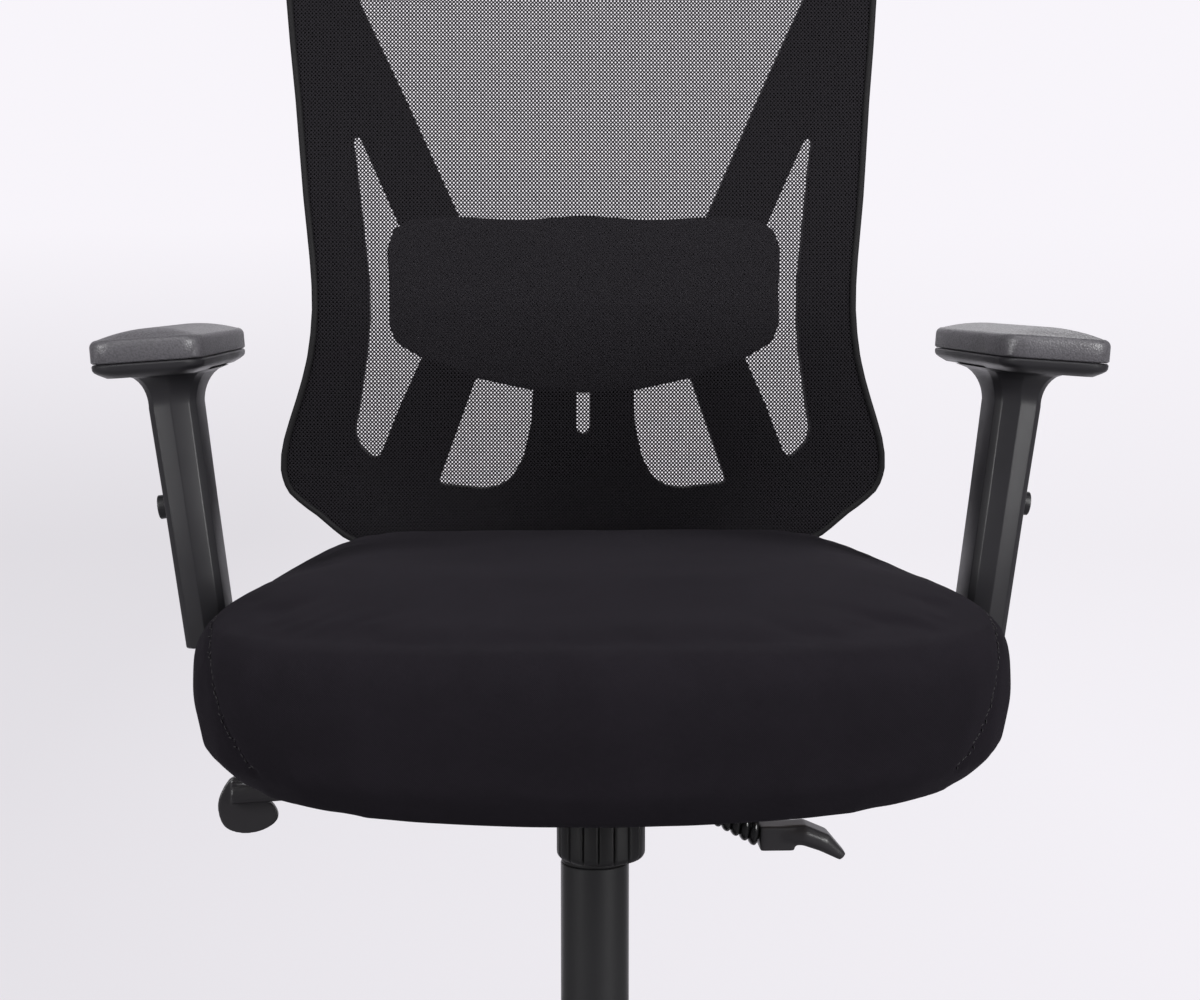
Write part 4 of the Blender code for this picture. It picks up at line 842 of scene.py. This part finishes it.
def make_sleeve(side, word):
    """The faceted tube: up the inside of its bore, over the rim, and up to the flare under the pad."""
    post, pad = arm_frame(side, word), pad_frame(side, word)
    rings = []
    for height in (BORE_TOP, SLEEVE_BOTTOM + 0.0010):
        section = tube_section(*BORE_HALF, 0.0, BORE_CORNER)
        rings.append([post @ Vector((*p, height)) for p in section])
    for height, half_x, half_y in SLEEVE_RINGS:
        rings.append([post @ Vector((*p, height)) for p in sleeve_section(half_x, half_y)])
    rings += flare_rings(post, pad)
    sleeve = new_piece(f"arm_sleeve_{word}_shell", lofted(rings), ARM_PLASTIC)
    turn = Matrix.Translation((side * RECESS_OUT, 0, 0)) @ Matrix.Rotation(math.pi / 2, 4, "Y")
    cut_from(sleeve, moved(disc(RECESS_RADIUS, RECESS_CUTTER), post @ turn))
    bevelled(sleeve, 0.0006, segments=3, angle=11.0)
    stand_for(shaded(sleeve, ARM_PLASTIC, sharp=28.0), "arm_plastic", f"arm_sleeve_{word}")


def round_edge(radius, height, edge, steps=6):
    """Profile points up and in over a rounded outer edge, round this centre."""
    turns = [math.pi / 2 * step / steps for step in range(steps + 1)]
    return [(radius + edge * math.cos(turn), height + edge * math.sin(turn)) for turn in turns]


def make_button(side, word):
    """The height button, slightly dished, that stands out of the sleeve's outer face."""
    post = arm_frame(side, word)
    rim, shoulder = BUTTON_RADIUS - BUTTON_EDGE, BUTTON_PROUD - BUTTON_EDGE
    profile = [(0.0, -BUTTON_DEPTH), (BUTTON_RADIUS - 0.0002, -BUTTON_DEPTH)]
    profile += round_edge(rim, shoulder, BUTTON_EDGE)
    profile += [(BUTTON_RADIUS * 0.55, BUTTON_PROUD - BUTTON_DISH / 3), (0.0, BUTTON_PROUD - BUTTON_DISH)]
    turn = Matrix.Translation((side * BUTTON_OUT, 0, 0)) @ Matrix.Rotation(side * math.pi / 2, 4, "Y")
    bm = moved(revolved(profile, BUTTON_SIDES), post @ turn)
    button = new_piece(f"arm_button_{word}_cap", bm, ARM_PLASTIC)
    stand_for(button, "arm_plastic", f"arm_button_{word}")


def make_arms():
    for side, word in SIDES:
        make_pad(side, word)
        make_pad_base(side, word)
        make_sleeve(side, word)
        make_button(side, word)
        dressed(f"arm_upright_{word}", ARM_PLASTIC, "arm_plastic", width=0.0015, segments=3)


# ---------------------------------------------------------------- back

def crossings(bm, axis, at):
    """Where the solid's edges cross the plane at this place on the axis."""
    found = []
    for edge in bm.edges:
        a, b = edge.verts[0].co, edge.verts[1].co
        if (a[axis] - at) * (b[axis] - at) < 0:
            found.append(a.lerp(b, (at - a[axis]) / (b[axis] - a[axis])))
    return found


def mesh_grid():
    """Rows of points over the back's face, on a patch between the outline's four sides."""
    bm = cad_mesh("back_mesh")
    (low_x, low_z), (high_x, high_z) = MESH_CORNERS
    side = []
    for row in range(MESH_ROWS + 1):
        z = low_z + (high_z - low_z) * row / MESH_ROWS
        side.append((max(p.x for p in crossings(bm, 2, z)), z))
    ends = []
    for corner_x, pick in ((low_x, min), (high_x, max)):
        line = []
        for column in range(MESH_COLUMNS + 1):
            x = corner_x * (2 * column / MESH_COLUMNS - 1) * CUT_WITHIN + CUT_ASIDE
            line.append((x, pick(p.z for p in crossings(bm, 0, x))))
        ends.append(line)
    bm.free()
    grid = []
    for row, (half, z) in enumerate(side):
        v = row / MESH_ROWS
        points = []
        for column in range(MESH_COLUMNS + 1):
            u = column / MESH_COLUMNS
            x_sides = half * (2 * u - 1)
            (bottom_x, bottom_z), (top_x, top_z) = ends[0][column], ends[1][column]
            corner_x = ((1 - v) * side[0][0] + v * side[-1][0]) * (2 * u - 1)
            corner_z = (1 - v) * (ends[0][0][1] * (1 - u) + ends[0][-1][1] * u) \
                + v * (ends[1][0][1] * (1 - u) + ends[1][-1][1] * u)
            x = x_sides + (1 - v) * bottom_x + v * top_x - corner_x
            points.append((x, z + (1 - v) * bottom_z + v * top_z - corner_z))
        grid.append(points)
    return np.array(grid)


def face_heights(grid):
    """The face's Y over the grid, rounded off so that it has no facets."""
    surface = tree_of("back_mesh")
    heights = np.zeros(grid.shape[:2])
    for row in range(grid.shape[0]):
        for column in range(grid.shape[1]):
            x, z = grid[row, column]
            hit, _, _, _ = surface.ray_cast(Vector((x, IN_FRONT_Y, z)), Vector((0, 1, 0)))
            if hit is None:
                hit, _, _, _ = surface.find_nearest(Vector((x, FACE_MIDDLE_Y, z)))
            heights[row, column] = hit.y
    for _ in range(MESH_SMOOTHING):
        padded = np.pad(heights, 1, mode="reflect", reflect_type="odd")
        heights = (padded[:-2, 1:-1] + padded[2:, 1:-1] + padded[1:-1, :-2] + padded[1:-1, 2:]) / 4
    return heights - MESH_FORWARD


def make_back_mesh():
    """The stretched mesh, one open sheet over the frame, and the bound edge round it."""
    grid = mesh_grid()
    heights = face_heights(grid)
    bm = bmesh.new()
    rows = []
    for points, ys in zip(grid, heights):
        rows.append([bm.verts.new((x, y, z)) for (x, z), y in zip(points, ys)])
    for lower, upper in zip(rows, rows[1:]):
        for i in range(MESH_COLUMNS):
            bm.faces.new((lower[i], lower[i + 1], upper[i + 1], upper[i]))
    rim = [v.co.copy() for v in rows[0]] + [row[-1].co.copy() for row in rows[1:-1]]
    rim += [v.co.copy() for v in rows[-1][::-1]] + [row[0].co.copy() for row in rows[-2:0:-1]]
    centre = sum(rim, Vector()) / len(rim)
    rim = [p - (p - centre).normalized() * BINDING_INSET for p in rim]
    sheet = new_piece("back_mesh_sheet", bm, MESH_KNIT, sharp=80.0)
    tube = swept_loop(rim, BINDING_RADIUS, sides=10)
    binding = new_piece("back_mesh_binding", tube, BINDING, sharp=60.0)
    stand_for(sheet, "back_mesh", "back_mesh")
    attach(binding, BODY_OF["back_mesh"])


def make_back():
    moulded_part("back_frame", FRAME, "frame_nylon", voxel=0.0022, smoothing=3)
    moulded_part("lumbar_pad", LUMBAR, "frame_nylon", voxel=0.0018, smoothing=6)
    dressed("lumbar_knob", NYLON, "frame_nylon", width=0.0010, segments=3)
    dressed("back_bracket", STEEL_PAINT, "painted_steel", width=0.0010)
    for _, word in SIDES:
        dressed(f"back_bolt_{word}", ZINC, "bare_steel", width=0.0005)
    make_back_mesh()


# ---------------------------------------------------------------- mechanism, lift, base

def make_knob():
    """The tension knob: narrow upright grooves, a rounded lower edge and a plain collar."""
    low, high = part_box("tension_knob")
    radius, height = (high.x - low.x) / 2, high.z - low.z
    grip = height - KNOB_COLLAR

    def reach(angle, r, z):
        if r < radius * 0.8 or z > grip:
            return r
        across = abs((angle * KNOB_GROOVES / (2 * math.pi)) % 1.0 - 0.5) * 2
        groove = max(0.0, 1.0 - across / KNOB_GROOVE_SHARE)
        return r - KNOB_GROOVE_DEPTH * groove * min(1.0, z / KNOB_GROOVE_START)

    profile = [(0.0, 0.0008), (radius * 0.55, 0.0005), (radius * 0.78, 0.0)]
    for step in range(7):
        angle = math.pi / 2 * step / 6
        inset, up = KNOB_EDGE * (1 - math.sin(angle)), KNOB_EDGE * (1 - math.cos(angle))
        profile.append((radius - inset, up + 0.0001))
    profile += [(radius, grip * 0.6), (radius, grip - 0.0004), (radius - 0.0006, grip + 0.0002),
                (radius - 0.0008, height - 0.0008), (radius - 0.0016, height), (KNOB_BORE, height),
                (KNOB_BORE, height - KNOB_BORE_DEPTH), (0.0, height - KNOB_BORE_DEPTH)]
    centre = Matrix.Translation((0.0, (low.y + high.y) / 2, low.z))
    bm = moved(revolved(profile, KNOB_GROOVES * KNOB_GROOVE_STEPS, reach), centre)
    stand_for(new_piece("tension_knob_grip", bm, NYLON, sharp=40.0), "frame_nylon", "tension_knob")


def make_boot():
    """Upright rings strung along the sloping lever, growing towards its paddle."""
    low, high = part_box("lock_lever_boot")
    middle_y = (low.y + high.y) / 2
    large = (high.y - low.y) / 2
    start = Vector((low.x, middle_y, high.z - BOOT_SMALL))
    end = Vector((high.x, middle_y, low.z + large))
    steps = BOOT_RINGS * BOOT_RING_STEPS
    levels = [(1.0, BOOT_BORE), (0.0, BOOT_BORE)]
    for step in range(steps + 1):
        along = step / steps
        crest = BOOT_SMALL + (large - BOOT_SMALL) * along
        fold = abs(math.sin(math.pi * BOOT_RINGS * along)) ** 0.6
        levels.append((along, crest - BOOT_FOLD * (1 - fold)))
    loops = []
    for along, radius in levels:
        centre = start.lerp(end, along)
        loop = []
        for i in range(BOOT_SIDES):
            across = radius * math.cos(2 * math.pi * i / BOOT_SIDES)
            up = radius * math.sin(2 * math.pi * i / BOOT_SIDES)
            loop.append(centre + Vector((BOOT_SLANT * up, across, up)))
        loops.append(loop)
    bm = lofted(loops)
    caps = [f for f in bm.faces if len(f.verts) == BOOT_SIDES]
    bmesh.ops.delete(bm, geom=caps, context="FACES_ONLY")
    bmesh.ops.bridge_loops(bm, edges=[e for e in bm.edges if e.is_boundary])
    bmesh.ops.recalc_face_normals(bm, faces=bm.faces)
    bellows = new_piece("lock_lever_boot_bellows", bm, RUBBER, sharp=60.0)
    stand_for(bellows, "boot_rubber", "lock_lever_boot")


def make_mechanism():
    make_knob()
    make_boot()
    moulded_part("height_lever", LEVER, "frame_nylon", voxel=0.0008, smoothing=6)
    moulded_part("tilt_lock_lever", LEVER, "frame_nylon", voxel=0.0008, smoothing=24)
    dressed("mechanism_housing", STEEL_PAINT, "painted_steel", width=0.0008)
    dressed("seat_carrier", STEEL_PAINT, "painted_steel")
    dressed("seat_pan", BOARD, "seat_board", width=0.0008)
    for name in ("front_axle", "main_axle", "tension_bolt", "tension_nut"):
        dressed(name, ZINC, "bare_steel", width=0.0004)
    for name in ("tension_spring", "lift_release_pin"):
        frame["nodes"][name].data.materials.clear()
        frame["nodes"][name].data.materials.append(ZINC)


def turned_part(name, profile, material, slot):
    """A round part that stands on the gas lift's axis."""
    bm = moved(revolved(profile, LIFT_SIDES), Matrix.Translation(COLUMN))
    stand_for(new_piece(name + "_part", bm, material, sharp=30.0), slot, name)


def make_lift():
    """The outer tube, open at its top, the piston rod with the release pin's bore, and their bush."""
    low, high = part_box("lift_outer_tube")
    radius, bottom, top = (high.x - low.x) / 2, low.z, high.z
    inside, floor = radius - LIFT_WALL, bottom + LIFT_FLOOR
    turned_part("lift_outer_tube", (
        (0.0, floor), (inside, floor), (inside, top - 0.0004), (inside + 0.0004, top),
        (radius - 0.0005, top), (radius, top - 0.0005), (radius, bottom + 0.0025), (radius - 0.0020, bottom),
        (0.0, bottom)), STEEL_PAINT, "painted_steel")
    low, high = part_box("lift_cylinder")
    radius, bottom, top = (high.x - low.x) / 2, low.z, high.z
    turned_part("lift_cylinder", (
        (0.0, bottom), (radius - 0.0010, bottom), (radius, bottom + 0.0010), (radius, top - 0.0010),
        (radius - 0.0010, top), (ROD_BORE + 0.0003, top), (ROD_BORE, top - 0.0004),
        (ROD_BORE, top - ROD_BORE_DEPTH), (0.0, top - ROD_BORE_DEPTH)), CHROME, "piston_chrome")
    dressed("lift_guide_bush", NYLON, "frame_nylon", width=0.0005)


def wheel_mesh():
    """A caster wheel about X, its dished outer face at +X."""
    low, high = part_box("caster_1_wheel_left")
    radius, half = (high.z - low.z) / 2, (high.x - low.x) / 2
    profile = [(r, half - depth) for r, depth in WHEEL_DISH]
    profile.append((radius - 0.0042, half - 0.0004))
    for step in range(9):
        angle = math.pi * step / 8
        profile.append((radius - WHEEL_CROWN * (1 - math.sin(angle)), (half - WHEEL_CROWN) * math.cos(angle)))
    profile.append((radius - 0.0045, -half + 0.0006))
    profile += [(r, -half + depth) for r, depth in WHEEL_HOLLOW]
    profile += [(WHEEL_BORE, half - WHEEL_BORE_END), (0.0, half - WHEEL_BORE_END)]
    bm = moved(revolved(profile, WHEEL_SIDES), Matrix.Rotation(math.pi / 2, 4, "Y"))
    mesh = bpy.data.meshes.new("caster_wheel")
    bm.to_mesh(mesh)
    bm.free()
    return mesh


def make_casters():
    """Five casters; all the wheels share one mesh, and all the hoods another."""
    wheel = wheel_mesh()
    centred = moved(cad_mesh("caster_1_hood"), Matrix.Translation(-middle_of("caster_1_stem")))
    hood = remeshed(new_piece("hood", centred, NYLON), HOOD_VOXEL, smoothing=3)
    hood_mesh = hood.data
    bpy.data.objects.remove(hood)
    for number in CASTERS:
        stem = middle_of(f"caster_{number}_stem")
        shell = bpy.data.objects.new(f"caster_{number}_hood_shell", hood_mesh)
        shell.location = stem
        stand_for(shaded(shell, NYLON, sharp=60.0), "caster_nylon", f"caster_{number}_hood")
        for side, word in SIDES:
            name = f"caster_{number}_wheel_{word}"
            piece = bpy.data.objects.new(f"{name}_tyre", wheel)
            piece.location = middle_of(name)
            piece.rotation_euler.z = 0.0 if side > 0 else math.pi
            stand_for(shaded(piece, TREAD, sharp=30.0), "caster_nylon", name)
        for part in ("axle", "stem"):
            name = f"caster_{number}_{part}"
            dressed(name, ZINC, "bare_steel", width=0.0003)


def make_base():
    moulded_part("star_base", NYLON, "frame_nylon", voxel=0.0022, smoothing=4)


# ---------------------------------------------------------------- studio

def make_backdrop():
    """A pale floor that curves up all round into a wall."""
    profile = [(0.0, 0.0), (1.0, 0.0), (2.5, 0.0), (BACKDROP_FLAT, 0.0)]
    for step in range(1, 13):
        angle = math.pi / 2 * step / 12
        out, up = math.sin(angle), 1 - math.cos(angle)
        profile.append((BACKDROP_FLAT + BACKDROP_CURVE * out, BACKDROP_CURVE * up))
    profile.append((BACKDROP_FLAT + BACKDROP_CURVE, BACKDROP_TOP))
    bm = revolved(profile, 96)
    bmesh.ops.reverse_faces(bm, faces=bm.faces)
    bowl = new_piece("backdrop", moved(bm, Matrix.Translation(COLUMN)), BACKDROP, sharp=80.0)
    bowl.visible_diffuse = False
    bowl.visible_glossy = False


def soft_light(name, place, size, power):
    light = bpy.data.lights.new(name, "AREA")
    light.shape = "RECTANGLE"
    light.size, light.size_y = size
    light.energy = power
    obj = bpy.data.objects.new(name, light)
    obj.location = place
    obj.rotation_euler = (Vector(LIGHTS_AIM) - Vector(place)).to_track_quat("-Z", "Y").to_euler()
    bpy.context.scene.collection.objects.link(obj)


def make_studio():
    """The backdrop, the room's own light and four soft lights."""
    make_backdrop()
    world = bpy.data.worlds.new("studio")
    world.use_nodes = True
    tree = world.node_tree
    background = tree.nodes["Background"]
    background.inputs["Color"].default_value = (0.96, 0.93, 1.0, 1.0)
    direction = add_node(tree, "ShaderNodeTexCoord").outputs["Generated"]
    _, behind, rise = add_node(tree, "ShaderNodeSeparateXYZ", {"Vector": direction}).outputs
    room = ramp(tree, rise, -0.7, 0.3, FLOOR_BOUNCE, ROOM_FILL)
    wall = ramp(tree, behind, 0.6, 1.0, 0.0, REAR_WALL)
    tree.links.new(maths(tree, "ADD", room, wall), background.inputs["Strength"])
    bpy.context.scene.world = world
    bpy.context.scene.view_settings.view_transform = "Standard"
    for light in SOFT_LIGHTS:
        soft_light(*light)


def make_camera():
    camera = bpy.data.cameras.new("front_view")
    camera.lens = CAMERA_LENS
    camera.sensor_width = 36.0
    obj = bpy.data.objects.new("front_view", camera)
    obj.location = COLUMN + Vector(CAMERA_PLACE)
    obj.rotation_euler = (CAMERA_PITCH, 0.0, CAMERA_YAW)
    bpy.context.scene.collection.objects.link(obj)
    bpy.context.scene.camera = obj


make_cushion()
make_arms()
make_back()
make_mechanism()
make_lift()
make_casters()
make_base()
make_studio()
make_camera()
